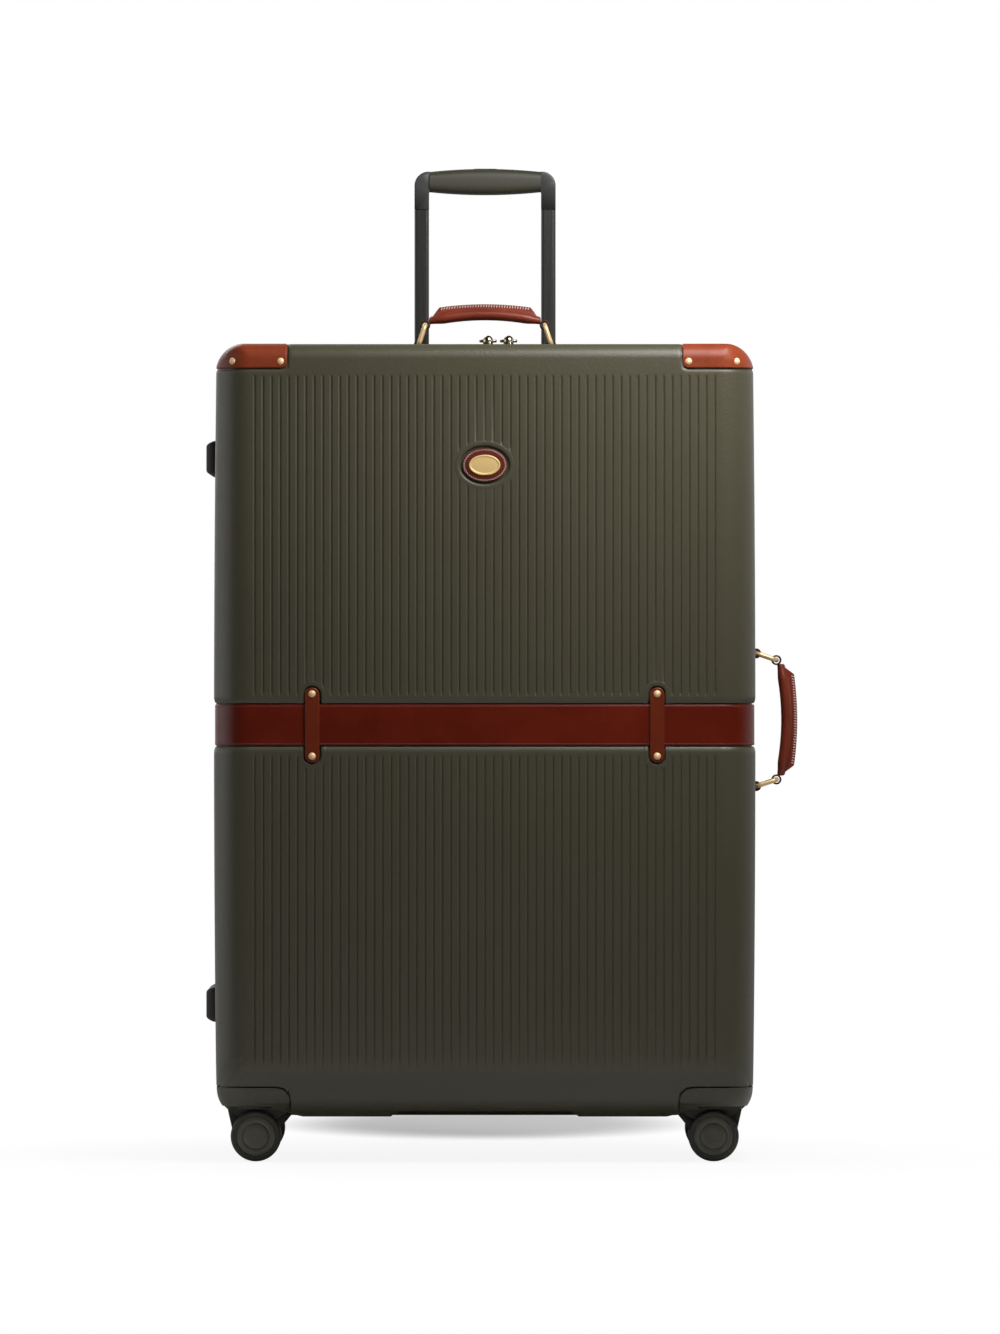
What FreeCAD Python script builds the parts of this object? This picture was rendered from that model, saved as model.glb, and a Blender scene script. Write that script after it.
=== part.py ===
"""Upright rolling suitcase: two formed shells that zip together, leather trim, two carry handles,
a pull-out trolley and four twin-wheel swivel casters.

Units are millimetres. +Z is up and the floor is Z = 0. The zip plane is Y = 0, the front half lies
towards -Y, and the side carry handle is on +X, opposite the cloth hinge on -X.
"""
import FreeCAD, Part
import math
import os
from types import SimpleNamespace

import Sketcher

DRIVING_SIZES = {
    # Case halves
    "case_width": 510,
    "case_depth": 310,
    "case_top": 770,
    "case_bottom": 42,
    "side_crown": 2.5,
    "wall": 3,
    "zip_gap": 8,
    "edge_side": 34,
    "edge_top": 14,
    "edge_bottom": 60,
    "corner_round": 26,
    "cutter_past": 20,
    # Finger notch under the bottom edge
    "notch_length": 164,
    "notch_rise": 6,
    "notch_slope": 7,
    "notch_near": 62,
    # Grooves moulded into the faces
    "groove_pitch": 8,
    "groove_width": 2.8,
    "groove_depth": 0.7,
    "groove_top_gap": 29,
    "groove_foot_gap": 52,
    "groove_strap_gap": 7,
    "groove_edge_gap": 5,
    # Strap round the case and its keepers
    "strap_level": 412,
    "strap_width": 40,
    "strap_thick": 1.8,
    "channel_depth": 2.4,
    "trim_gap": 0.5,
    "keeper_spread": 324,
    "keeper_width": 15,
    "keeper_length": 72,
    "keeper_thick": 1.8,
    "keeper_recess": 0.6,
    "keeper_rivets": 58.6,
    # Corner caps
    "cap_width": 69.5,
    "cap_drop": 23,
    "cap_back": 64,
    "cap_thick": 1.6,
    "cap_round": 6,
    "cap_rivet_rise": 6.5,
    "cap_rivet_inner": 6,
    "cap_rivet_outer": 51.4,
    # Rivets
    "rivet_head": 7,
    "rivet_rise": 1.8,
    "rivet_shank": 3,
    "rivet_tail": 1,
    "rivet_clear": 0.1,
    # Badge
    "badge_drop": 114,
    "badge_width": 42,
    "badge_height": 31.6,
    "badge_end": 12.5,
    "badge_thick": 2,
    "badge_recess": 1.6,
    "badge_gap": 1.6,
    "plate_width": 29.5,
    "plate_height": 19.4,
    "plate_end": 7,
    "plate_thick": 1.2,
    # Zip, lining and hinge cloth
    "tape_thick": 1.2,
    "tape_gap": 0.2,
    "tape_flange": 14,
    "chain_inset": 1,
    "chain_half": 3.2,
    "gusset_margin": 133,
    "lining_gap": 0.3,
    "lining_thick": 1.2,
    "lining_rim": 15,
    "lining_room": 0.6,
    # Feet on the hinge side
    "foot_rise": 9,
    "foot_length": 34,
    "foot_slope": 6,
    "foot_depth": 40,
    "foot_offset": 22,
    "foot_drop": 106,
    "foot_lift": 105,
    # Caster housings
    "caster_inset_x": 48,
    "caster_inset_y": 67,
    "housing_span": 71.5,
    "housing_rise": 18.4,
    "housing_round": 13,
    "housing_wall": 3,
    "housing_seam": 0.4,
    "dome_rise": 5.4,
    "well_clear": 1.5,
    "mouth_span": 54,
    "boss_radius": 11,
    # Casters
    "wheel_diameter": 47.6,
    "wheel_width": 11,
    "wheel_gap": 0.6,
    "hub_radius": 18.8,
    "hub_cap": 12.2,
    "hub_groove": 0.6,
    "hub_dish": 1.5,
    "tyre_round": 2.5,
    "caster_trail": 9,
    "hood_lip": 3.2,
    "hood_clear": 2.2,
    "fork_tail": 26,
    "skirt_rise": 6.2,
    "heel_slope": 4.4,
    "fork_web": 7,
    "fork_roof": 2.2,
    "hood_round": 10,
    "fork_gap": 0.6,
    "axle_radius": 3,
    "axle_inset": 1,
    "stem_radius": 5,
    "stem_length": 16,
    "turning_clear": 0.1,
    # Carry handles
    "top_handle_offset": 52,
    "side_handle_offset": 46,
    "side_handle_level": 416,
    "handle_spread": 127,
    "handle_pivot": 5,
    "ring_length": 20,
    "ring_tilt": 18.5,
    "ring_width": 22,
    "ring_round": 5,
    "ring_wire": 2.2,
    "grip_half": 53.5,
    "grip_end_foot": 22.5,
    "grip_arch": 6,
    "grip_thick": 10.2,
    "grip_width": 17,
    "fin_half": 46,
    "fin_rise": 5.3,
    "fin_width": 4,
    "loop_radius": 4.8,
    "loop_width": 12,
    "open_pivot_clear": 1.1,
    "bracket_length": 20,
    "bracket_width": 26,
    "bracket_thick": 2,
    # Trolley
    "trolley_offset": 118,
    "trolley_spacing": 122,
    "tube_width": 14,
    "tube_depth": 18,
    "tube_wall": 1.2,
    "tube_gap": 0.5,
    "tube_round": 3,
    "inner_tube_length": 300,
    "middle_tube_length": 360,
    "trolley_out": 167.5,
    "frame_depth": 20,
    "frame_bar": 12,
    "frame_edge": 1.5,
    "elbow_round": 13.4,
    "grip_rise": 26.5,
    "trolley_grip_length": 107,
    "trolley_grip_end": 19.5,
    "trolley_grip_mid": 25.2,
    "trolley_grip_depth": 24,
    "trolley_grip_round": 6.5,
    "trolley_button_length": 23,
    "trolley_button_width": 9,
    "trolley_button_rise": 1.6,
    "trolley_button_sunk": 5,
    "button_gap": 0.4,
    "tray_length": 150,
    "tray_width": 39,
    "tray_depth": 30,
    "tray_wall": 2.5,
    "tray_flange": 2.5,
    "tray_round": 10,
    # Zip sliders
    "slider_left_x": 3,
    "slider_right_x": 22.5,
    "slider_length": 12,
    "slider_width": 9,
    "slider_round": 2.25,
    "slider_plate": 2.5,
    "slider_rise": 0.4,
    "slider_dome": 4.8,
    "slider_dome_rise": 12,
    "puller_pivot": 7,
    "puller_wire": 1.2,
    "puller_width": 14.5,
    "puller_length": 20,
    "puller_round": 2,
    # Combination lock
    "lock_offset": 25.5,
    "lock_start_x": -40,
    "lock_length": 74,
    "lock_width": 20,
    "lock_height": 13,
    "lock_round": 5,
    "lock_rise": 1.2,
    "dial_radius": 7,
    "dial_width": 5,
    "dial_pitch": 8,
    "dial_first_x": -31,
    "dial_room": 0.5,
    "dial_level": 4.5,
    "dial_shaft": 2,
    "release_x": -4,
    "release_length": 9,
    "release_width": 9,
    "release_round": 2.25,
    "release_travel": 3,
    "release_rise": 1.2,
    # Packing strap
    "pack_strap_width": 38,
    "pack_strap_thick": 1.5,
    "pack_buckle_length": 50,
    "pack_buckle_width": 44,
    "pack_buckle_thick": 6,
    "pack_buckle_round": 8.8,
}

FRONT = -1
REAR = 1
LEFT = -1
RIGHT = 1
X_AXIS = FreeCAD.Vector(1, 0, 0)
Y_AXIS = FreeCAD.Vector(0, 1, 0)
Z_AXIS = FreeCAD.Vector(0, 0, 1)
NEAR = 0.001
DIALS = 3


class Size:
    """A length that carries its number and the spreadsheet expression it comes from."""

    def __init__(self, value, text):
        self.value = value
        self.text = text

    def joined(self, other, sign, value):
        return Size(value, f"({self.text} {sign} {other.text})")

    def __add__(self, other):
        other = as_size(other)
        return self.joined(other, "+", self.value + other.value)

    def __sub__(self, other):
        other = as_size(other)
        return self.joined(other, "-", self.value - other.value)

    def __mul__(self, other):
        other = as_size(other)
        return self.joined(other, "*", self.value * other.value)

    def __truediv__(self, other):
        other = as_size(other)
        return self.joined(other, "/", self.value / other.value)

    def __radd__(self, other):
        return as_size(other) + self

    def __rsub__(self, other):
        return as_size(other) - self

    def __rmul__(self, other):
        return as_size(other) * self

    def __neg__(self):
        return as_size(0) - self


def as_size(value):
    """A Size for any number, so that plain and bound lengths mix."""
    return value if isinstance(value, Size) else Size(value, repr(value))


def sine(angle):
    return Size(math.sin(math.radians(angle.value)), f"sin({angle.text} * 1 deg)")


def cosine(angle):
    return Size(math.cos(math.radians(angle.value)), f"cos({angle.text} * 1 deg)")


doc = FreeCAD.newDocument("Suitcase")
sheet = doc.addObject("Spreadsheet::Sheet", "Dims")
dims = SimpleNamespace()
for row, (alias, number) in enumerate(DRIVING_SIZES.items(), start=1):
    sheet.set(f"A{row}", alias)
    sheet.set(f"B{row}", str(number))
    sheet.setAlias(f"B{row}", alias)
    setattr(dims, alias, Size(number, f"Dims.{alias}"))
doc.recompute()

nodes = {}


def node(name, thing):
    """Gives a finished piece its own name and lists it for export."""
    thing.Label = name
    nodes[name] = thing
    return thing


def bind(thing, prop, value):
    """Ties one property to the spreadsheet."""
    thing.setExpression(prop, as_size(value).text)


def place(thing, x=0, y=0, z=0, axis=Z_AXIS, angle=0):
    """Puts a piece at a bound position, turned about one axis."""
    thing.Placement = FreeCAD.Placement(FreeCAD.Vector(), FreeCAD.Rotation(axis, angle))
    for name, value in (("x", x), ("y", y), ("z", z)):
        bind(thing, f"Placement.Base.{name}", value)
    return thing


def about(centre, width):
    """The low and high ends of a width set evenly about its centre."""
    return centre - width / 2, centre + width / 2


def depth(half, near, far):
    """A span of Y measured from the zip plane into the front or the rear half."""
    return (near, far) if half == REAR else (-far, -near)


def across(hand, inner, outer):
    """A span of X measured from the middle of the case to the left or the right."""
    return (inner, outer) if hand == RIGHT else (-outer, -inner)


def block(name, x, y, z):
    """A box between the given low and high ends."""
    box = doc.addObject("Part::Box", name)
    bind(box, "Length", x[1] - x[0])
    bind(box, "Width", y[1] - y[0])
    bind(box, "Height", z[1] - z[0])
    return place(box, x[0], y[0], z[0])


def post(name, x, y, z, radius):
    """An upright cylinder between two heights."""
    rod = doc.addObject("Part::Cylinder", name)
    bind(rod, "Radius", radius)
    bind(rod, "Height", z[1] - z[0])
    return place(rod, x, y, z[0])


def cross_rod(name, x, y, z, radius):
    """A cylinder along X between two ends."""
    rod = doc.addObject("Part::Cylinder", name)
    bind(rod, "Radius", radius)
    bind(rod, "Height", x[1] - x[0])
    return place(rod, x[0], y, z, Y_AXIS, 90)


def cut(base, *tools):
    for tool in tools:
        result = doc.addObject("Part::Cut", f"{base.Name}_cut")
        result.Base = base
        result.Tool = tool
        base = result
    return base


def fuse(*pieces):
    result = doc.addObject("Part::MultiFuse", f"{pieces[0].Name}_fused")
    result.Shapes = list(pieces)
    result.Refine = True
    return result


def common(*pieces):
    result = doc.addObject("Part::MultiCommon", f"{pieces[0].Name}_common")
    result.Shapes = list(pieces)
    return result


def group(*pieces):
    """Separate solids that share one piece's name."""
    result = doc.addObject("Part::Compound", f"{pieces[0].Name}_group")
    result.Links = list(pieces)
    return result


def along(edge, axis):
    """True for a straight edge that runs along the given axis."""
    if edge.Curve.TypeId != "Part::GeomLine":
        return False
    return abs(abs(edge.Curve.Direction.dot(axis)) - 1) < NEAR


def rounded(base, radius_of):
    """Rounds the edges of a piece; radius_of gives an edge its radius, or nothing to leave it sharp."""
    doc.recompute()
    result = doc.addObject("Part::Fillet", f"{base.Name}_round")
    result.Base = base
    chosen = []
    for number, edge in enumerate(base.Shape.Edges, start=1):
        radius = radius_of(edge)
        if radius:
            chosen.append((number, radius, radius))
    result.Edges = chosen
    return result


def rounded_block(name, x, y, z, axis, radius):
    """A box whose four edges along one axis are rounded."""
    box = block(name, x, y, z)
    return rounded(box, lambda edge: radius.value if along(edge, axis) else None)


def outline(sketch, corners, arcs=None):
    """Draws a closed outline through bound corners. arcs gives the radius of the side that starts at a
    corner: a positive radius bulges to the right of the way round, a negative one to the left."""
    arcs = arcs or {}
    count = len(corners)
    points = [FreeCAD.Vector(as_size(u).value, as_size(v).value, 0) for u, v in corners]
    ends = []
    for index, start in enumerate(points):
        finish = points[(index + 1) % count]
        if index not in arcs:
            line = sketch.addGeometry(Part.LineSegment(start, finish), False)
            ends.append((line, 1, 2))
            continue
        radius = arcs[index]
        chord = finish - start
        reach = math.sqrt(max(radius.value ** 2 - chord.Length ** 2 / 4, 0))
        to_left = FreeCAD.Vector(-chord.y, chord.x, 0).normalize()
        bulges_right = radius.value > 0
        centre = (start + finish) / 2 + to_left * (reach if bulges_right else -reach)
        circle = Part.Circle(centre, Z_AXIS, abs(radius.value))
        first, last = (start, finish) if bulges_right else (finish, start)
        from_angle = math.atan2(first.y - centre.y, first.x - centre.x)
        to_angle = math.atan2(last.y - centre.y, last.x - centre.x)
        arc = sketch.addGeometry(Part.ArcOfCircle(circle, from_angle, to_angle), False)
        ends.append((arc, 1, 2) if bulges_right else (arc, 2, 1))
        constraint = sketch.addConstraint(Sketcher.Constraint("Radius", arc, abs(radius.value)))
        bind(sketch, f"Constraints[{constraint}]", radius if bulges_right else -radius)
    for index, (side, start_end, finish_end) in enumerate(ends):
        following, next_start, _ = ends[(index + 1) % count]
        sketch.addConstraint(Sketcher.Constraint("Coincident", side, finish_end, following, next_start))
        for kind, value in zip(("DistanceX", "DistanceY"), corners[index]):
            value = as_size(value)
            constraint = sketch.addConstraint(
                Sketcher.Constraint(kind, -1, 1, side, start_end, value.value))
            bind(sketch, f"Constraints[{constraint}]", value)


def oval(half_width, half_height, end_round):
    """Corners and arcs of a four-arc oval, from its half axes and the radius of its ends."""
    end_centre = half_width - end_round
    long_round = (half_width * half_width + half_height * half_height - 2 * half_width * end_round) / (
        2 * (half_height - end_round))
    drop = long_round - half_height
    share = long_round / (long_round - end_round)
    meet_u = end_centre * share
    meet_v = drop * share - drop
    corners = [(meet_u, -meet_v), (meet_u, meet_v), (-meet_u, meet_v), (-meet_u, -meet_v)]
    return corners, {0: end_round, 1: long_round, 2: end_round, 3: long_round}


def moved(corners, u, v):
    return [(left + u, up + v) for left, up in corners]


class Piece:
    """A PartDesign body whose sketches lie on its own origin planes."""

    def __init__(self, name):
        self.body = doc.addObject("PartDesign::Body", name)
        self.origin = {feature.Role: feature for feature in self.body.Origin.OriginFeatures}

    def sketch(self, plane, offset=0):
        drawing = self.body.newObject("Sketcher::SketchObject", f"{self.body.Name}_sketch")
        drawing.AttachmentSupport = [(self.origin[f"{plane}_Plane"], "")]
        drawing.MapMode = "FlatFace"
        bind(drawing, "AttachmentOffset.Base.z", offset)
        return drawing

    def drawn(self, plane, corners, arcs=None, offset=0):
        drawing = self.sketch(plane, offset)
        outline(drawing, corners, arcs)
        return drawing

    def circle(self, plane, u, v, radius, offset=0):
        drawing = self.sketch(plane, offset)
        centre = FreeCAD.Vector(as_size(u).value, as_size(v).value, 0)
        ring = drawing.addGeometry(Part.Circle(centre, Z_AXIS, as_size(radius).value), False)
        for kind, value in (("DistanceX", u), ("DistanceY", v)):
            value = as_size(value)
            constraint = drawing.addConstraint(Sketcher.Constraint(kind, -1, 1, ring, 3, value.value))
            bind(drawing, f"Constraints[{constraint}]", value)
        constraint = drawing.addConstraint(Sketcher.Constraint("Radius", ring, as_size(radius).value))
        bind(drawing, f"Constraints[{constraint}]", radius)
        return drawing

    def extrude(self, kind, drawing, length, both):
        feature = self.body.newObject(f"PartDesign::{kind}", f"{self.body.Name}_{kind}")
        feature.Profile = drawing
        bind(feature, "Length", length)
        if both:
            feature.SideType = "Symmetric"
        return feature

    def pad(self, drawing, length, both=False):
        return self.extrude("Pad", drawing, length, both)

    def pocket(self, drawing, length, both=False):
        return self.extrude("Pocket", drawing, length, both)

    def revolve(self, drawing, axis):
        feature = self.body.newObject("PartDesign::Revolution", f"{self.body.Name}_Revolution")
        feature.Profile = drawing
        feature.ReferenceAxis = (self.origin[f"{axis}_Axis"], [""])
        feature.Angle = 360
        return feature

    def fillet(self, feature, radius, chosen):
        """Rounds the edges of a feature that the test picks."""
        doc.recompute()
        edges = enumerate(feature.Shape.Edges, start=1)
        names = [f"Edge{number}" for number, edge in edges if chosen(edge)]
        result = self.body.newObject("PartDesign::Fillet", f"{self.body.Name}_Fillet")
        result.Base = (feature, names)
        bind(result, "Radius", radius)
        return result


# Case halves: a crowned outline pulled back from the zip plane, with its edges rolled to different radii

half_width = dims.case_width / 2
half_depth = dims.case_depth / 2
rim = dims.zip_gap / 2
past = dims.cutter_past
channel_width = dims.strap_width + 2 * dims.trim_gap


def pulled(drawing, half, near, far):
    """A solid from an outline in X and Z, pulled from one distance to another from the zip plane."""
    place(drawing, y=half * near, axis=X_AXIS, angle=90)
    form = doc.addObject("Part::Extrusion", f"{drawing.Name}_block")
    form.Base = drawing
    form.DirMode = "Normal"
    form.Reversed = half == REAR
    form.Solid = True
    bind(form, "LengthFwd", far - near)
    return form


def case_form(half, inset, start, rolled=True, finish=None):
    """The block of one half, set in from the outer skin by an even inset."""
    low = dims.case_bottom + inset
    high = dims.case_top - inset
    corner_x = half_width - inset - dims.side_crown
    tall = high - low
    bow = (tall * tall / 4 + dims.side_crown * dims.side_crown) / (2 * dims.side_crown)
    face = half_depth - inset if finish is None else finish
    drawing = doc.addObject("Sketcher::SketchObject", "case_outline")
    corners = [(-corner_x, low), (corner_x, low), (corner_x, high), (-corner_x, high)]
    outline(drawing, corners, {1: bow, 3: bow})
    form = pulled(drawing, half, start, face)
    inset_value = as_size(inset).value
    face_y = half * face.value

    def radius_of(edge):
        spread = edge.BoundBox
        if spread.YLength > NEAR:
            return dims.corner_round.value - inset_value
        if not rolled or abs(spread.YMin - face_y) > NEAR:
            return None
        if spread.ZLength > spread.XLength:
            return dims.edge_side.value - inset_value
        if abs(spread.ZMin - high.value) < NEAR:
            return dims.edge_top.value - inset_value
        return dims.edge_bottom.value - inset_value

    return rounded(form, radius_of)


def seat(form, x, z, half):
    """The point of a half's face straight in front of x, z, and the way that the face looks there."""
    far = half * (half_depth + past).value
    line = Part.makeLine(FreeCAD.Vector(x, 0, z), FreeCAD.Vector(x, far, z))
    hits = line.common(form.Shape).Vertexes
    point = max((vertex.Point for vertex in hits), key=lambda hit: hit.y * half)
    face = min(form.Shape.Faces, key=lambda side: side.distToShape(Part.Vertex(point))[0])
    u, v = face.Surface.parameter(point)
    return point, face.normalAt(u, v)


def rivet_shape():
    """A domed head on a shank that is spread into a flat tail inside the wall."""
    head = dims.rivet_head.value / 2
    rise = dims.rivet_rise.value
    shank = dims.rivet_shank.value / 2
    grip = dims.wall.value + dims.keeper_thick.value - dims.keeper_recess.value
    tail = dims.rivet_tail.value
    bow = (head * head + rise * rise) / (2 * rise)
    half_turn = math.asin(head / bow) / 2
    middle = FreeCAD.Vector(bow * math.sin(half_turn), 0, rise - bow + bow * math.cos(half_turn))
    dome = Part.Arc(FreeCAD.Vector(0, 0, rise), middle, FreeCAD.Vector(head, 0, 0))
    rest = Part.makePolygon([
        FreeCAD.Vector(head, 0, 0),
        FreeCAD.Vector(shank, 0, 0),
        FreeCAD.Vector(shank, 0, -grip - tail),
        FreeCAD.Vector(0, 0, -grip - tail),
        FreeCAD.Vector(0, 0, rise),
    ])
    wire = Part.Wire([dome.toShape()] + rest.Edges)
    return Part.Face(wire).revolve(FreeCAD.Vector(), Z_AXIS, 360)


def set_out(shape, seats):
    """Copies of a small upright shape, one stood on each seat."""
    copies = []
    for point, facing in seats:
        copy = shape.copy()
        copy.Placement = FreeCAD.Placement(point, FreeCAD.Rotation(Z_AXIS, facing))
        copies.append(copy)
    return Part.makeCompound(copies)


def feature(name, shape):
    """A piece made straight from a shape."""
    result = doc.addObject("Part::Feature", name)
    result.Shape = shape
    return result


def groove_field(half, low, high):
    """Upright V grooves evenly spaced over the flat part of the face between two heights."""
    flat = dims.case_width - 2 * dims.edge_side - 2 * dims.groove_edge_gap
    count = int(flat.value // dims.groove_pitch.value) + 1
    run = dims.groove_pitch * (count - 1)
    first = -run / 2
    mouth = half * half_depth
    outside = half * (half_depth + past)
    bottom = half * (half_depth - dims.groove_depth)
    piece = Piece("groove_cutters")
    left, right = about(first, dims.groove_width)
    drawing = piece.drawn("XY", [
        (left, mouth),
        (first, bottom),
        (right, mouth),
        (right, outside),
        (left, outside),
    ], offset=low)
    single = piece.pad(drawing, high - low)
    pattern = piece.body.newObject("PartDesign::LinearPattern", "groove_pattern")
    pattern.Originals = [single]
    pattern.Direction = (piece.origin["X_Axis"], [""])
    bind(pattern, "Length", run)
    pattern.Occurrences = count
    piece.body.Tip = pattern
    return piece.body


def bottom_notch(half, grow):
    """The finger notch under the bottom edge of a face, grown all round."""
    low = dims.case_bottom
    high = low + dims.notch_rise + grow
    inner = dims.notch_length / 2 + grow
    outer = inner + dims.notch_slope
    drawing = doc.addObject("Sketcher::SketchObject", "notch_profile")
    right = [(outer, low - past), (outer, low), (inner, high)]
    left = [(-u, v) for u, v in reversed(right)]
    outline(drawing, right + left)
    return pulled(drawing, half, dims.notch_near - grow, half_depth + past)


def case_half(half, prefix, extra_cuts):
    """One half's shell, with its strap, keepers, corner caps and rivets."""
    outer = case_form(half, 0, rim)
    hollow = case_form(half, dims.wall, 0)
    channel_floor = case_form(half, dims.channel_depth, 0)
    channel_back = case_form(half, dims.wall + dims.channel_depth, 0)
    strap_skin = case_form(half, dims.channel_depth - dims.strap_thick, rim)
    cap_floor = case_form(half, dims.cap_thick, 0)
    full_x = (-half_width - past, half_width + past)
    full_y = depth(half, as_size(0), half_depth + past)

    channel = block("strap_channel", full_x, full_y, about(dims.strap_level, channel_width))
    ridge = block("strap_ridge", full_x, full_y, about(dims.strap_level, channel_width + 2 * dims.wall))
    shell = cut(outer, cut(channel, channel_floor), bottom_notch(half, 0))
    shell = cut(shell, cut(hollow, cut(ridge, channel_back), bottom_notch(half, dims.wall)))

    strap_band = block("strap_band", full_x, full_y, about(dims.strap_level, dims.strap_width))
    node(f"{prefix}_strap", cut(common(strap_skin, strap_band), channel_floor))

    keepers = []
    caps = []
    cutters = []
    seats = []
    for hand in (LEFT, RIGHT):
        keeper_x = hand * dims.keeper_spread / 2
        keeper_foot = half_depth - dims.keeper_recess
        keepers.append(rounded_block(
            "strap_keeper", about(keeper_x, dims.keeper_width),
            depth(half, keeper_foot, keeper_foot + dims.keeper_thick),
            about(dims.strap_level, dims.keeper_length), Y_AXIS, dims.keeper_width / 2 - dims.trim_gap / 2))
        cutters.append(rounded_block(
            "keeper_recess", about(keeper_x, dims.keeper_width + 2 * dims.trim_gap),
            depth(half, keeper_foot, half_depth + past),
            about(dims.strap_level, dims.keeper_length + 2 * dims.trim_gap), Y_AXIS, dims.keeper_width / 2))

        def cap_block(gap):
            inner = half_width - dims.cap_width - gap
            low = dims.case_top - dims.cap_drop - gap
            box = block(
                "corner_block", across(hand, inner, half_width + past),
                depth(half, half_depth - dims.cap_back - gap, half_depth + past), (low, dims.case_top + past))

            def radius_of(edge):
                spread = edge.BoundBox
                inside = abs(abs(spread.Center.x) - as_size(inner).value) < NEAR
                lowest = abs(spread.Center.z - as_size(low).value) < NEAR
                return dims.cap_round.value if along(edge, Y_AXIS) and inside and lowest else None

            return rounded(box, radius_of)

        caps.append(cut(common(outer, cap_block(0)), cap_floor))
        cutters.append(cut(cap_block(dims.trim_gap), cap_floor))

    doc.recompute()
    for hand in (LEFT, RIGHT):
        keeper_x = hand * dims.keeper_spread.value / 2
        keeper_face = half * (half_depth - dims.keeper_recess + dims.keeper_thick).value
        for rise in (-1, 1):
            level = dims.strap_level.value + rise * dims.keeper_rivets.value / 2
            seats.append((FreeCAD.Vector(keeper_x, keeper_face, level), Y_AXIS * half))
        for reach in (dims.cap_rivet_inner.value, dims.cap_rivet_outer.value):
            x = hand * ((half_width - dims.cap_width).value + reach)
            z = (dims.case_top - dims.cap_drop + dims.cap_rivet_rise).value
            seats.append(seat(outer, x, z, half))
    hole_radius = dims.rivet_shank.value / 2 + dims.rivet_clear.value
    hole_shape = Part.makeCylinder(hole_radius, 2 * past.value, FreeCAD.Vector(0, 0, -past.value))
    holes = feature("rivet_holes", set_out(hole_shape, seats))

    node(f"{prefix}_strap_keepers", cut(group(*keepers), holes))
    node(f"{prefix}_corner_caps", cut(group(*caps), holes))
    node(f"{prefix}_rivets", feature("rivets", set_out(rivet_shape(), seats)))

    strap_edge = channel_width / 2 + dims.groove_strap_gap
    upper = groove_field(half, dims.strap_level + strap_edge, dims.case_top - dims.groove_top_gap)
    lower = groove_field(half, dims.case_bottom + dims.groove_foot_gap, dims.strap_level - strap_edge)
    if half == FRONT:
        upper = cut(upper, badge_oval("badge_surround", dims.badge_gap * 2, half_depth - past, past * 2))
    shell = cut(shell, *cutters, holes, *extra_cuts, upper, lower)
    return outer, hollow, shell


# Badge: a leather oval let into the face, with a plain metal plate on it

def badge_oval(name, grow, foot, thick):
    """An oval slab on the front face, grown all round from the badge patch."""
    corners, arcs = oval(dims.badge_width / 2 + grow, dims.badge_height / 2 + grow, dims.badge_end + grow)
    return front_slab(name, corners, arcs, foot, thick)


def front_slab(name, corners, arcs, foot, thick):
    piece = Piece(name)
    drawing = piece.drawn("XZ", moved(corners, 0, dims.case_top - dims.badge_drop), arcs, offset=foot)
    piece.pad(drawing, thick)
    return piece.body


# Zip tape: a flange sewn inside the rim, and half of the zip chain in the gap between the rims

flange_inset = dims.wall + dims.tape_gap
flange_back = flange_inset + dims.tape_thick
gusset_foot = dims.case_bottom + dims.gusset_margin
gusset_top = dims.case_top - dims.gusset_margin


def ridge_room(half):
    """Where the strap's channel stands inside the rim, so that cloth sewn to the rim stops short of it."""
    return block(
        "ridge_room", (-half_width - past, half_width + past), depth(half, rim - dims.tape_gap, half_depth),
        about(dims.strap_level, channel_width + 2 * dims.wall + 2 * dims.tape_gap))


def zip_tape(half, prefix, keep_clear):
    flange = cut(case_form(half, flange_inset, dims.tape_gap, False, dims.tape_flange), ridge_room(half))
    chain = case_form(half, dims.chain_inset, dims.tape_gap, False, dims.tape_gap + dims.chain_half)
    bore = case_form(half, flange_back, 0, False, dims.tape_flange + past)
    node(f"{prefix}_zip_tape", cut(fuse(flange, chain), bore, keep_clear))


def hinge_gusset():
    """A strip of cloth sewn inside both rims along the hinge side."""
    cloth = case_form(FRONT, flange_inset, -dims.tape_flange, False, dims.tape_flange)
    bore = case_form(FRONT, flange_back, -dims.tape_flange - past, False, dims.tape_flange + past)
    strip = block(
        "hinge_strip", (-half_width, -half_width + past), (-dims.tape_flange, dims.tape_flange),
        (gusset_foot, gusset_top))
    node("hinge_gusset", cut(common(cloth, strip), bore, ridge_room(FRONT), ridge_room(REAR)))


# Lining: thin cloth inside the shell that goes round whatever stands inside it

def lining(half, prefix, obstacles):
    """obstacles is a list of spans in X, Y and Z that the cloth is carried round."""
    outside = dims.wall + dims.channel_depth + dims.lining_gap
    cloth = case_form(half, outside, dims.lining_rim)
    room = case_form(half, outside + dims.lining_thick, 0)
    for x, y, z in obstacles:
        for grow, is_cloth in ((dims.lining_room, True), (dims.lining_room + dims.lining_thick, False)):
            spans = [(low - grow, high + grow) for low, high in (x, y, z)]
            keep_out = block("lining_form", *spans)
            if is_cloth:
                cloth = cut(cloth, keep_out)
            else:
                room = cut(room, keep_out)
    return node(f"{prefix}_lining", cut(cloth, room))


# Feet that the case lies on, on the hinge side

def side_feet(half, prefix, outer):
    feet = []
    for level in (dims.case_bottom + dims.foot_lift, dims.case_top - dims.foot_drop):
        low, high = about(level, dims.foot_length)
        drawing = doc.addObject("Sketcher::SketchObject", "foot_profile")
        outline(drawing, [
            (-half_width - dims.foot_rise, low + dims.foot_slope),
            (-half_width, low),
            (-half_width + dims.foot_rise, low),
            (-half_width + dims.foot_rise, high),
            (-half_width, high),
            (-half_width - dims.foot_rise, high - dims.foot_slope),
        ])
        foot = pulled(drawing, half, dims.foot_offset, dims.foot_offset + dims.foot_depth)
        feet.append(cut(foot, outer))
    node(f"{prefix}_side_feet", group(*feet))


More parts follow.
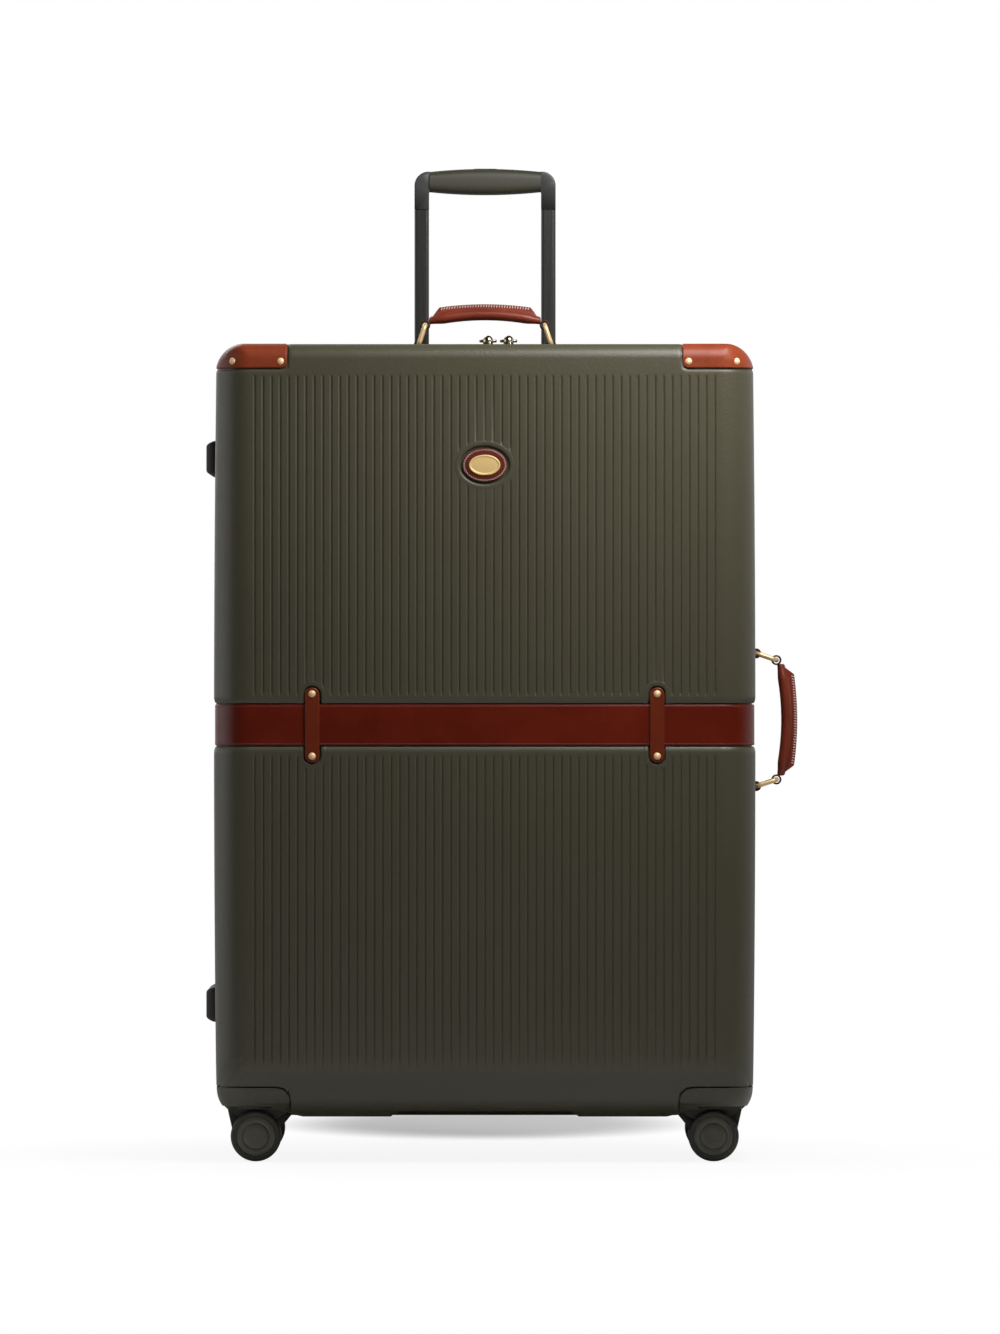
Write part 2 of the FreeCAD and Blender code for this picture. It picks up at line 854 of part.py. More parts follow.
# Caster housings: plastic corners with a wheel well, a boss for the stem and a dome over the well

wheel_radius = dims.wheel_diameter / 2
fork_reach = wheel_radius + dims.hood_lip
fork_top = dims.wheel_diameter + dims.hood_clear + dims.fork_roof
caster_axis_x = half_width - dims.caster_inset_x
caster_axis_y = half_depth - dims.caster_inset_y
well_radius = dims.caster_trail + fork_reach + dims.well_clear
dome_inner = caster_axis_x - well_radius - dims.housing_wall
housing_near = caster_axis_y - well_radius - dims.housing_wall
housing_inner = half_width - dims.housing_span
housing_apron = fork_top + dims.fork_gap
housing_top = housing_apron + dims.housing_rise


def wheel_well(half, hand):
    """What the turning caster sweeps, with the mouth that opens it to the front and the side."""
    x = hand * caster_axis_x
    y = half * caster_axis_y
    sweep = post("well_sweep", x, y, (as_size(0), housing_apron), well_radius)
    mouth = block(
        "well_mouth", across(hand, half_width - dims.mouth_span, half_width + past),
        depth(half, caster_axis_y - well_radius / 2, half_depth + past), (as_size(0), housing_apron))
    return fuse(sweep, mouth)


def housing_corner(half, hand, gap):
    """The corner of the case that the housing takes, with its rounded upper inner edge."""
    inner = housing_inner - gap
    high = housing_top + gap
    box = block(
        "housing_corner", across(hand, inner, half_width + past),
        depth(half, housing_near - gap, half_depth + past), (as_size(0), high))

    def radius_of(edge):
        spread = edge.BoundBox
        inside = abs(abs(spread.Center.x) - inner.value) < NEAR
        upper = abs(spread.Center.z - high.value) < NEAR
        return dims.housing_round.value if along(edge, Y_AXIS) and inside and upper else None

    return rounded(box, radius_of)


def caster_housing(half, hand, outer, hollow):
    x = hand * caster_axis_x
    y = half * caster_axis_y
    corner = common(outer, housing_corner(half, hand, as_size(0)))
    dome = common(hollow, block(
        "housing_dome", across(hand, dome_inner, half_width), depth(half, housing_near, half_depth),
        (dims.case_bottom, housing_apron + dims.dome_rise)))
    inside = case_form(half, dims.wall + dims.housing_wall, 0)
    pocket = common(inside, block(
        "housing_pocket", across(hand, housing_inner + dims.housing_wall, half_width),
        depth(half, housing_near + dims.housing_wall, half_depth),
        (housing_apron + dims.housing_wall, housing_top + past)))
    boss = post("stem_boss", x, y, (housing_apron, housing_top), dims.boss_radius)
    stem = post("stem_bore", x, y, (as_size(0), housing_top + past), dims.stem_radius + dims.turning_clear)
    return cut(fuse(cut(fuse(corner, dome), pocket), boss), wheel_well(half, hand), stem)


# Casters: a fork with a flat hood, and a pair of wheels on one axle through its web

axle_level = wheel_radius
wheel_near = dims.fork_web / 2 + dims.wheel_gap
wheel_far = wheel_near + dims.wheel_width


def caster_place(thing, half, hand):
    """Stands a caster piece under its housing, with its wheels trailing outwards."""
    turn = 0 if hand == RIGHT else 180
    return place(thing, hand * caster_axis_x, half * caster_axis_y, 0, Z_AXIS, turn)


def caster_fork(name, half, hand):
    piece = Piece(name)
    heel = dims.caster_trail + fork_reach
    roof = fork_top - dims.fork_roof
    skirt = axle_level + dims.skirt_rise
    web = piece.drawn("XZ", [
        (-dims.fork_tail, roof - dims.heel_slope),
        (dims.caster_trail - dims.hub_cap, skirt - dims.hub_cap),
        (dims.caster_trail + dims.hub_cap, skirt - dims.hub_cap),
        (heel - dims.heel_slope, skirt),
        (heel, roof),
        (heel, fork_top),
        (-dims.fork_tail, fork_top),
    ])
    piece.pad(web, dims.fork_web, both=True)
    hood = piece.drawn("XZ", [
        (-dims.fork_tail, roof),
        (heel, roof),
        (heel, fork_top),
        (-dims.fork_tail, fork_top),
    ])
    slab = piece.pad(hood, 2 * wheel_far, both=True)

    def hood_corner(edge):
        return along(edge, Z_AXIS) and abs(edge.BoundBox.Center.y) > wheel_near.value

    piece.fillet(slab, dims.hood_round, hood_corner)
    piece.pad(piece.circle("XY", 0, 0, dims.stem_radius, offset=fork_top), dims.stem_length)
    axle = piece.circle("XZ", dims.caster_trail, axle_level, dims.axle_radius)
    piece.pad(axle, 2 * (wheel_far - dims.axle_inset), both=True)
    return node(name, caster_place(piece.body, half, hand))


def wheel_pair(name, profile, half, hand):
    """The same turned profile on both sides of the web, spun about the axle."""
    wheels = []
    for side in (FRONT, REAR):
        piece = Piece(f"{name}_wheel")
        corners, arcs = profile(side)
        drawing = piece.drawn("YZ", corners, arcs)
        piece.revolve(drawing, "Y")
        place(piece.body, dims.caster_trail, 0, axle_level)
        wheels.append(piece.body)
    return node(name, caster_place(group(*wheels), half, hand))


def wound(side, corners, arcs):
    """A profile drawn for the rear wheel, turned over for the front one."""
    if side == REAR:
        return corners, arcs
    count = len(corners)
    flipped = [(-u, v) for u, v in reversed(corners)]
    return flipped, {(count - 2 - index) % count: radius for index, radius in arcs.items()}


def hub_profile(side):
    bore = dims.axle_radius + dims.turning_clear
    groove = wheel_far - dims.hub_groove
    return wound(side, [
        (wheel_near, bore),
        (wheel_far - dims.hub_dish, bore),
        (wheel_far - dims.hub_dish, dims.hub_cap / 2),
        (wheel_far, dims.hub_cap / 2),
        (wheel_far, dims.hub_cap),
        (groove, dims.hub_cap),
        (groove, dims.hub_cap + dims.hub_groove),
        (wheel_far, dims.hub_cap + dims.hub_groove),
        (wheel_far, dims.hub_radius),
        (wheel_near, dims.hub_radius),
    ], {})


def tyre_profile(side):
    near = wheel_near
    far = wheel_far
    shoulder = wheel_radius - dims.tyre_round
    return wound(side, [
        (near, dims.hub_radius),
        (far, dims.hub_radius),
        (far, shoulder),
        (far - dims.tyre_round, wheel_radius),
        (near + dims.tyre_round, wheel_radius),
        (near, shoulder),
    ], {2: dims.tyre_round, 4: dims.tyre_round})


# Carry handles: a leather roll with a stitched fin, hung on two wire rings in brackets

ring_lean = dims.ring_length * sine(dims.ring_tilt)
ring_stand = dims.ring_length * cosine(dims.ring_tilt)
loop_x = dims.handle_spread / 2 - ring_lean
loop_z = dims.handle_pivot + ring_stand


def arch_round(half_span, rise):
    """Radius of an arch from its half span and its rise."""
    return (half_span * half_span + rise * rise) / (2 * rise)


def handle_grip(name):
    piece = Piece(name)
    foot = dims.grip_end_foot
    head = foot + dims.grip_thick
    bow = arch_round(dims.grip_half, dims.grip_arch)
    roll = piece.drawn("XZ", [
        (-dims.grip_half, foot),
        (dims.grip_half, foot),
        (dims.grip_half, head),
        (-dims.grip_half, head),
    ], {0: -bow, 2: bow})
    body = piece.pad(roll, dims.grip_width, both=True)
    roll_round = dims.grip_thick / 2 - dims.trim_gap
    piece.fillet(body, roll_round, lambda edge: edge.BoundBox.XLength > dims.grip_half.value)
    crest = head + dims.grip_arch
    fin_drop = dims.grip_arch / 2
    fin = piece.drawn("XZ", [
        (-dims.fin_half, head - fin_drop),
        (dims.fin_half, head - fin_drop),
        (dims.fin_half - dims.fin_rise, crest + dims.fin_rise - fin_drop),
        (-dims.fin_half + dims.fin_rise, crest + dims.fin_rise - fin_drop),
    ], {2: arch_round(dims.fin_half - dims.fin_rise, fin_drop)})
    piece.pad(fin, dims.fin_width, both=True)
    for hand in (LEFT, RIGHT):
        piece.pad(piece.circle("XZ", hand * loop_x, loop_z, dims.loop_radius), dims.loop_width, both=True)
    for hand, clear in ((LEFT, dims.turning_clear), (RIGHT, dims.open_pivot_clear)):
        bore = piece.circle("XZ", hand * loop_x, loop_z, dims.ring_wire + clear)
        piece.pocket(bore, 2 * dims.grip_width, both=True)
    return piece.body


def wire_loop(name, width, length, corner, wire):
    """A loop of round wire with rounded corners, standing on its lower bar, which lies along Y."""
    piece = Piece(name)
    half = width / 2
    path = piece.drawn("YZ", [
        (corner - half, 0),
        (half - corner, 0),
        (half, corner),
        (half, length - corner),
        (half - corner, length),
        (corner - half, length),
        (-half, length - corner),
        (-half, corner),
    ], {1: corner, 3: corner, 5: corner, 7: corner})
    section = piece.circle("XZ", 0, 0, wire)
    pipe = piece.body.newObject("PartDesign::AdditivePipe", f"{name}_pipe")
    pipe.Profile = section
    pipe.Spine = (path, [])
    return piece


def handle_brackets(name):
    brackets = []
    for hand in (LEFT, RIGHT):
        piece = Piece(name)
        x = hand * dims.handle_spread / 2
        left, right = about(x, dims.bracket_length)
        plate = piece.pad(piece.drawn("XZ", [
            (left, -dims.bracket_thick),
            (right, -dims.bracket_thick),
            (right, dims.bracket_thick),
            (left, dims.bracket_thick),
        ]), dims.bracket_width, both=True)
        piece.fillet(plate, dims.ring_round, lambda edge: along(edge, Z_AXIS))
        lug_left, lug_right = about(x, 2 * dims.loop_radius)
        crown = dims.handle_pivot + dims.loop_radius - dims.trim_gap
        piece.pad(piece.drawn("XZ", [
            (lug_left, 0),
            (lug_right, 0),
            (lug_right, dims.handle_pivot),
            (lug_left, dims.handle_pivot),
        ], {2: arch_round(dims.loop_radius, crown - dims.handle_pivot)}), dims.loop_width, both=True)
        bore = piece.circle("XZ", x, dims.handle_pivot, dims.ring_wire + dims.turning_clear)
        piece.pocket(bore, 2 * dims.bracket_width, both=True)
        brackets.append(piece.body)
    return group(*brackets)


def carry_handle(prefix, stand, outer):
    """One handle in its own frame, X along the grip and Z away from the case, stood on the case."""
    node(f"{prefix}_handle_grip", stand(handle_grip(f"{prefix}_handle_grip")))
    for hand, word in ((LEFT, "a"), (RIGHT, "b")):
        name = f"{prefix}_handle_ring_{word}"
        loop = wire_loop(f"{name}_form", dims.ring_width, dims.ring_length, dims.ring_round, dims.ring_wire)
        pivot_x = hand * dims.handle_spread / 2
        place(loop.body, pivot_x, 0, dims.handle_pivot, -hand * Y_AXIS, dims.ring_tilt.value)
        bind(loop.body, "Placement.Rotation.Angle", dims.ring_tilt)
        node(name, stand(group(loop.body)))
    node(f"{prefix}_handle_brackets", cut(stand(handle_brackets(f"{prefix}_handle_bracket")), outer))


def stand_on_top(thing):
    return place(thing, 0, dims.top_handle_offset, dims.case_top)


def stand_on_side(thing):
    return place(thing, half_width, dims.side_handle_offset, dims.side_handle_level, Y_AXIS, 90)


# Trolley: three nested pairs of tubes, a tray let into the top, and a grip on an elbow frame

tube_step = 2 * (dims.tube_gap + dims.tube_wall)
tray_floor = dims.case_top - dims.tray_depth
tray_under = tray_floor - dims.tray_wall
frame_foot = tray_floor + dims.trolley_out
grip_level = frame_foot + dims.grip_rise


def tube_section(stage):
    """Outer width and depth of the inner (0), middle (1) or outer (2) tube."""
    return dims.tube_width + stage * tube_step, dims.tube_depth + stage * tube_step


def tube_pair(name, stage, z):
    wide, deep = tube_section(stage)
    tubes = []
    for hand in (LEFT, RIGHT):
        x = hand * dims.trolley_spacing / 2
        skin = rounded_block(
            name, about(x, wide), about(dims.trolley_offset, deep), z, Z_AXIS,
            dims.tube_round + stage * tube_step / 2)
        bore = rounded_block(
            f"{name}_bore", about(x, wide - 2 * dims.tube_wall),
            about(dims.trolley_offset, deep - 2 * dims.tube_wall),
            (z[0] - past, z[1] + past), Z_AXIS, dims.tube_round + stage * tube_step / 2 - dims.tube_wall)
        tubes.append(cut(skin, bore))
    return group(*tubes)


def trolley_tray():
    """The bezel: a flange on the case, a well for the grip, and the holes that the tubes slide in."""
    flange_length = dims.tray_length + 2 * dims.tray_flange
    flange_width = dims.tray_width + 2 * dims.tray_flange
    flange = rounded_block(
        "tray_flange", about(as_size(0), flange_length), about(dims.trolley_offset, flange_width),
        (dims.case_top, dims.case_top + dims.tray_flange), Z_AXIS, dims.tray_round + dims.tray_flange)
    well = tray_block(dims.tray_length, dims.tray_width, (tray_under, dims.case_top), dims.tray_round)
    room = tray_block(
        dims.tray_length - 2 * dims.tray_wall, dims.tray_width - 2 * dims.tray_wall,
        (tray_floor, dims.case_top + past), dims.tray_round - dims.tray_wall)
    wide, deep = tube_section(1)
    holes = [block(
        "tube_hole", about(hand * dims.trolley_spacing / 2, wide + 2 * dims.tube_gap),
        about(dims.trolley_offset, deep + 2 * dims.tube_gap), (tray_under - past, tray_floor + past))
        for hand in (LEFT, RIGHT)]
    return node("trolley_bezel", cut(fuse(flange, well), room, *holes))


def tray_block(length, width, z, corner):
    return rounded_block(
        "tray_block", about(as_size(0), length), about(dims.trolley_offset, width), z, Z_AXIS, corner)


def trolley_frame():
    """Two elbows and the bar between them that carries the grip."""
    piece = Piece("trolley_grip_frame")
    outer_x = dims.trolley_spacing / 2 + dims.tube_width / 2
    inner_x = outer_x - dims.tube_width
    low, high = about(grip_level, dims.trolley_grip_end)
    bar_low, bar_high = about(grip_level, dims.frame_bar)
    grip_end = dims.trolley_grip_length / 2
    elbow = dims.elbow_round
    right = [
        (grip_end, bar_low),
        (grip_end, low),
        (inner_x, low),
        (inner_x, frame_foot),
        (outer_x, frame_foot),
        (outer_x, high - elbow),
        (outer_x - elbow, high),
        (grip_end, high),
        (grip_end, bar_high),
    ]
    left = [(-u, v) for u, v in reversed(right)]
    turn = {5: elbow, len(right) + 2: elbow}
    drawing = piece.drawn("XZ", right + left, turn)
    body = piece.pad(drawing, dims.frame_depth, both=True)

    def outermost(edge):
        return along(edge, Z_AXIS) and abs(edge.BoundBox.Center.x) > outer_x.value - NEAR

    piece.fillet(body, dims.frame_edge, outermost)
    return node("trolley_grip_frame", place(piece.body, 0, dims.trolley_offset))


def trolley_grip():
    """A barrel that swells to its middle, with a bore for the frame's bar and a pocket for the button."""
    piece = Piece("trolley_grip")
    half = dims.trolley_grip_length / 2
    swell = (dims.trolley_grip_mid - dims.trolley_grip_end) / 2
    bow = arch_round(half, swell)
    low, high = about(grip_level, dims.trolley_grip_end)
    drawing = piece.drawn("XZ", [(-half, low), (half, low), (half, high), (-half, high)], {0: bow, 2: bow})
    body = piece.pad(drawing, dims.trolley_grip_depth, both=True)
    piece.fillet(body, dims.trolley_grip_round, lambda edge: edge.BoundBox.XLength > half.value)
    bore_half = dims.frame_bar / 2 + dims.trim_gap / 2
    sleeve = piece.drawn("YZ", [
        (-dims.frame_depth / 2 - dims.trim_gap / 2, grip_level - bore_half),
        (dims.frame_depth / 2 + dims.trim_gap / 2, grip_level - bore_half),
        (dims.frame_depth / 2 + dims.trim_gap / 2, grip_level + bore_half),
        (-dims.frame_depth / 2 - dims.trim_gap / 2, grip_level + bore_half),
    ])
    piece.pocket(sleeve, 2 * dims.trolley_grip_length, both=True)
    place(piece.body, 0, dims.trolley_offset)
    crest = grip_level + dims.trolley_grip_mid / 2
    pocket = rounded_block(
        "button_pocket", about(as_size(0), dims.trolley_button_length + 2 * dims.button_gap),
        about(dims.trolley_offset, dims.trolley_button_width + 2 * dims.button_gap),
        (crest - dims.trolley_button_sunk, crest + past), Z_AXIS, dims.trolley_button_width / 2)
    node("trolley_grip", cut(piece.body, pocket))
    button = rounded_block(
        "trolley_button_form", about(as_size(0), dims.trolley_button_length),
        about(dims.trolley_offset, dims.trolley_button_width),
        (crest - dims.trolley_button_rise, crest + dims.trolley_button_rise),
        Z_AXIS, dims.trolley_button_width / 2 - dims.button_gap)
    node("trolley_button", button)


# Zip sliders, each with a wire puller through its dome

def zip_slider(name, x):
    piece = Piece(f"{name}_form")
    left, right = about(as_size(0), dims.slider_length)
    plate = piece.pad(piece.drawn("XY", [
        (left, -dims.slider_width / 2),
        (right, -dims.slider_width / 2),
        (right, dims.slider_width / 2),
        (left, dims.slider_width / 2),
    ]), dims.slider_plate)
    piece.fillet(plate, dims.slider_round, lambda edge: along(edge, Z_AXIS))
    crown = dims.slider_dome_rise
    dome = piece.drawn("XZ", [
        (as_size(0), 0),
        (dims.slider_dome, 0),
        (dims.slider_dome, crown - dims.slider_dome),
        (as_size(0), crown),
    ], {2: dims.slider_dome})
    piece.revolve(dome, "Z")
    hole = piece.circle("YZ", 0, dims.puller_pivot, dims.puller_wire + dims.turning_clear)
    piece.pocket(hole, 2 * dims.slider_length, both=True)
    return node(name, place(piece.body, x, 0, dims.case_top + dims.slider_rise))


def zip_puller(name, x):
    loop = wire_loop(
        f"{name}_form", dims.puller_width, dims.puller_length, dims.puller_round, dims.puller_wire)
    laid_back = FreeCAD.Rotation(X_AXIS, -90) * FreeCAD.Rotation(Z_AXIS, 90)
    loop.body.Placement = FreeCAD.Placement(FreeCAD.Vector(), laid_back)
    bind(loop.body, "Placement.Base.x", x)
    bind(loop.body, "Placement.Base.z", dims.case_top + dims.slider_rise + dims.puller_pivot)
    return node(name, loop.body)


# Combination lock in the top of the rear half

lock_x = (dims.lock_start_x, dims.lock_start_x + dims.lock_length)
lock_y = about(dims.lock_offset, dims.lock_width)
lock_top = dims.case_top + dims.lock_rise
dial_z = dims.case_top - dims.dial_level


def combination_lock():
    body = rounded_block(
        "lock_form", lock_x, lock_y, (lock_top - dims.lock_height, lock_top), Z_AXIS, dims.lock_round)
    slots = []
    for index in range(DIALS):
        x = dims.dial_first_x + index * dims.dial_pitch
        slots.append(block(
            "dial_slot", about(x, dims.dial_width + 2 * dims.dial_room),
            about(dims.lock_offset, 2 * (dims.dial_radius + dims.dial_room)),
            (dial_z - dims.dial_radius - dims.dial_room, lock_top + past)))
        wheel = cross_rod("dial", about(x, dims.dial_width), dims.lock_offset, dial_z, dims.dial_radius)
        bore = cross_rod(
            "dial_bore", about(x, 2 * dims.dial_width), dims.lock_offset, dial_z,
            dims.dial_shaft + dims.turning_clear)
        node(f"lock_dial_{index + 1}", cut(wheel, bore))
    shaft = cross_rod(
        "dial_shaft", (dims.dial_first_x - dims.dial_pitch, dims.dial_first_x + DIALS * dims.dial_pitch),
        dims.lock_offset, dial_z, dims.dial_shaft)
    release_x = about(dims.release_x, dims.release_length)
    release_y = about(dims.lock_offset, dims.release_width)
    track = block(
        "release_track", (release_x[0] - dims.trim_gap, release_x[1] + dims.release_travel + dims.trim_gap),
        (release_y[0] - dims.trim_gap, release_y[1] + dims.trim_gap),
        (lock_top - dims.release_rise, lock_top + past))
    node("lock_body", cut(fuse(cut(body, *slots), shaft), track))
    release = rounded_block(
        "release_form", release_x, release_y,
        (lock_top - dims.release_rise, lock_top + dims.release_rise), Z_AXIS, dims.release_round)
    node("lock_release", release)


# Packing strap across the rear half, buckled in the middle

def packing_strap():
    strap_level = (dims.case_top + dims.case_bottom) / 2
    skin = dims.wall + dims.channel_depth + dims.lining_gap + dims.lining_thick
    tube_front = dims.trolley_offset - tube_section(2)[1] / 2 - dims.lining_room - dims.lining_thick
    back = tube_front - dims.tape_gap
    reach = half_width - skin - dims.tape_gap
    straps = [block(
        "packing_strap", across(hand, dims.pack_buckle_length / 2, reach),
        (back - dims.pack_strap_thick, back), about(strap_level, dims.pack_strap_width))
        for hand in (LEFT, RIGHT)]
    node("packing_straps", group(*straps))
    buckle = rounded_block(
        "buckle_form", about(as_size(0), dims.pack_buckle_length), (back - dims.pack_buckle_thick, back),
        about(strap_level, dims.pack_buckle_width), Y_AXIS, dims.pack_buckle_round)
    node("packing_buckle", buckle)


def build_half(half, prefix, extra_cuts, lining_obstacles):
    corner_cuts = []
    for hand in (LEFT, RIGHT):
        corner_cuts.append(housing_corner(half, hand, dims.housing_seam))
        corner_cuts.append(post(
            "well_cut", hand * caster_axis_x, half * caster_axis_y,
            (as_size(0), housing_apron), well_radius))
    outer, hollow, shell = case_half(half, prefix, corner_cuts + extra_cuts)
    node(f"{prefix}_shell", shell)
    housings = [caster_housing(half, hand, outer, hollow) for hand in (LEFT, RIGHT)]
    node(f"{prefix}_caster_housings", group(*housings))
    side_feet(half, prefix, outer)
    hinge_room = block(
        "hinge_room", (-half_width - past, -half_width + past),
        depth(half, as_size(0), dims.tape_flange + past),
        (gusset_foot - dims.trim_gap, gusset_top + dims.trim_gap))
    zip_tape(half, prefix, hinge_room)
    domes = [(across(hand, dome_inner, half_width), depth(half, housing_near, half_depth),
              (dims.case_bottom, housing_top)) for hand in (LEFT, RIGHT)]
    notch_half = dims.notch_length / 2 + dims.notch_slope + dims.wall
    notch = ((-notch_half, notch_half), depth(half, dims.notch_near - dims.wall, half_depth),
             (dims.case_bottom, dims.case_bottom + dims.notch_rise + dims.wall))
    lining(half, prefix, domes + [notch] + lining_obstacles)
    for hand, word in ((LEFT, "left"), (RIGHT, "right")):
        caster_fork(f"{prefix}_{word}_caster_fork", half, hand)
        wheel_pair(f"{prefix}_{word}_caster_hubs", hub_profile, half, hand)
        wheel_pair(f"{prefix}_{word}_caster_tyres", tyre_profile, half, hand)
    return outer, hollow


badge_recess = badge_oval("badge_recess", dims.badge_gap, half_depth - dims.badge_recess, past)
build_half(FRONT, "front", [badge_recess], [])
badge_foot = half_depth - dims.badge_recess
node("badge_patch", badge_oval("badge_patch_form", as_size(0), badge_foot, dims.badge_thick))
plate_corners, plate_arcs = oval(dims.plate_width / 2, dims.plate_height / 2, dims.plate_end)
node("badge_plate", front_slab(
    "badge_plate_form", plate_corners, plate_arcs, badge_foot + dims.badge_thick, dims.plate_thick))

tray_cut = tray_block(
    dims.tray_length + 2 * dims.trim_gap, dims.tray_width + 2 * dims.trim_gap,
    (tray_under, dims.case_top + past), dims.tray_round + dims.trim_gap)
lock_cut = rounded_block(
    "lock_cut", (lock_x[0] - dims.trim_gap, lock_x[1] + dims.trim_gap),
    (lock_y[0] - dims.trim_gap, lock_y[1] + dims.trim_gap),
    (lock_top - dims.lock_height - past, lock_top + past), Z_AXIS, dims.lock_round + dims.trim_gap)
tube_wide, tube_deep = tube_section(2)
tube_rooms = [(
    about(hand * dims.trolley_spacing / 2, tube_wide),
    (dims.trolley_offset - tube_deep / 2, half_depth),
    (dims.case_bottom, dims.case_top)) for hand in (LEFT, RIGHT)]
tray_room = (
    about(as_size(0), dims.tray_length), (dims.trolley_offset - dims.tray_width / 2, half_depth),
    (tray_under, dims.case_top))
lock_room = (lock_x, (as_size(0), lock_y[1]), (lock_top - dims.lock_height, dims.case_top))
rear_outer, rear_hollow = build_half(
    REAR, "rear", [tray_cut, lock_cut], tube_rooms + [tray_room, lock_room])

carry_handle("top", stand_on_top, rear_outer)
carry_handle("side", stand_on_side, rear_outer)
trolley_tray()
outer_tubes = tube_pair("outer_tube", 2, (dims.case_bottom, tray_under))
node("trolley_outer_tubes", cut(common(outer_tubes, rear_hollow), bottom_notch(REAR, dims.wall)))
middle_tube_foot = tray_floor - dims.middle_tube_length
node("trolley_middle_tubes", tube_pair("middle_tube", 1, (middle_tube_foot, tray_floor)))
inner_tube_foot = frame_foot - dims.inner_tube_length
node("trolley_inner_tubes", tube_pair("inner_tube", 0, (inner_tube_foot, frame_foot)))
trolley_frame()
trolley_grip()
for word, slider_x in (("left", dims.slider_left_x), ("right", dims.slider_right_x)):
    zip_slider(f"zip_slider_{word}", slider_x)
    zip_puller(f"zip_puller_{word}", slider_x)
combination_lock()
packing_strap()
hinge_gusset()

doc.recompute()

for thing in doc.Objects:
    if "Invalid" in thing.State or "Error" in thing.State:
        raise RuntimeError(f"{thing.Label} did not build: {thing.State}")
for name, thing in nodes.items():
    if thing.Shape.isNull() or not thing.Shape.isValid() or not thing.Shape.Solids:
        raise RuntimeError(f"{name} has no sound solid")

os.makedirs("parts", exist_ok=True)
for name, thing in nodes.items():
    thing.Shape.exportStep(f"parts/{name}.step")
print(f"{len(nodes)} pieces written")
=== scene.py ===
"""Looks of an upright rolling suitcase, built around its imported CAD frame.

Pieces are worked out in millimetres in the CAD frame: +Z up, floor at Z = 0, zip plane Y = 0, front on -Y.
"""
import math

import bmesh
import bpy
import numpy as np
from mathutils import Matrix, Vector


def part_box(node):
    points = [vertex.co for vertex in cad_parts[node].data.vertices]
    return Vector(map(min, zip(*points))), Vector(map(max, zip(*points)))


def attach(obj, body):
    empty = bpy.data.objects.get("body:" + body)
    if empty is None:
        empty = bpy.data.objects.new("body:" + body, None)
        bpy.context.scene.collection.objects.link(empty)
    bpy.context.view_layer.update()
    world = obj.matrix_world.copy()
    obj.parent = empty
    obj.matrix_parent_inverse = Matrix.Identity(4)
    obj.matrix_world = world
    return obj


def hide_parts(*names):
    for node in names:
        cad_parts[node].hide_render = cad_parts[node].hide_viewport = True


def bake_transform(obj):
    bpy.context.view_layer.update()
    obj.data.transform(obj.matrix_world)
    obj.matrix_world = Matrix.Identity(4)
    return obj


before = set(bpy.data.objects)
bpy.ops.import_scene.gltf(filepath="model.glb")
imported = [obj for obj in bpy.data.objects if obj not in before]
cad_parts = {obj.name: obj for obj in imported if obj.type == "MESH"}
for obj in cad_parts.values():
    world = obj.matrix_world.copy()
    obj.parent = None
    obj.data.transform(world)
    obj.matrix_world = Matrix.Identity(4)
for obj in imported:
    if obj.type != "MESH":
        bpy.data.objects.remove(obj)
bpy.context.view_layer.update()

# Case halves: two trays of thin satin plastic, each formed in one piece over a mould, so that its face
# carries fine upright grooves, a channel for the strap, seats for the trim and, in front, a sunk oval for
# the badge. The rims of the two trays meet at the zip.

MM = 0.001
RIGHT_ANGLE, FULL_TURN = math.pi / 2, 2 * math.pi
FRONT, REAR = -1, 1
LEFT, RIGHT = -1, 1
LOWER, UPPER = -1, 1
HALVES = ((FRONT, "front", "front_half"), (REAR, "rear", "case"))


def node_box(node):
    """Lowest and highest corner of a CAD node, in millimetres."""
    low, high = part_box(node)
    return np.round(np.array(low) / MM, 3), np.round(np.array(high) / MM, 3)


shell_low, shell_high = node_box("front_shell")
HALF_WIDTH = shell_high[0]
BOTTOM, TOP = shell_low[2], shell_high[2]
FACE, RIM = -shell_low[1], -shell_high[1]
MIDDLE = (TOP + BOTTOM) / 2
SIDE_CROWN = 2.5
CORNER_ROUND = 26.0
SIDE_ROLL, TOP_ROLL, BOTTOM_ROLL = 34.0, 14.0, 60.0
WALL = 3.0
FACE_X = HALF_WIDTH - SIDE_ROLL
FACE_LOW, FACE_HIGH = BOTTOM + BOTTOM_ROLL, TOP - TOP_ROLL
ROLL_END = 61.0

GROOVE_PITCH, GROOVE_HALF, GROOVE_DEPTH, GROOVES = 8.0, 1.4, 1.1, 55
GROOVE_BELOW_TOP, GROOVE_ABOVE_BOTTOM, GROOVE_FADE = 29, 52, 3.0
GROOVE_TOP, GROOVE_FOOT = TOP - GROOVE_BELOW_TOP, BOTTOM + GROOVE_ABOVE_BOTTOM
STRAP_LEVEL, CHANNEL_HALF, CHANNEL_DEPTH = 412.0, 20.5, 3.4
LIP_REACH, LIP_FALL, CHANNEL_WALL = 5.5, 1.5, (-0.1, 0.4)
STRAP_BAND = 7
GROOVE_STRAP_GAP = CHANNEL_HALF + STRAP_BAND
NOTCH_HALF, NOTCH_SLOPE, NOTCH_RISE, NOTCH_NEAR = 82.0, 7.0, 6.0, 62.0
HOUSING_INNER, HOUSING_TOP, HOUSING_ROUND, HOUSING_NEAR = 183.5, 71.0, 13.0, 47.5
HOUSING_EDGE, EDGE_STEPS, FREE_ABOVE = (0.3, 1.5), 5, 2
LEAST_DROP, CROSSING_SHARES = 0.01, (0.1, 0.985)
SWIVEL, WELL_RADIUS = np.array([207.0, 88.0]), 37.5
LEAST_STEP, NEAR, TINY = 0.12, 0.01, 1e-9


def smooth(values, start, end):
    """Rises from 0 at start to 1 at end along a cubic."""
    share = np.clip((values - start) / (end - start), 0, 1)
    return share * share * (3 - 2 * share)


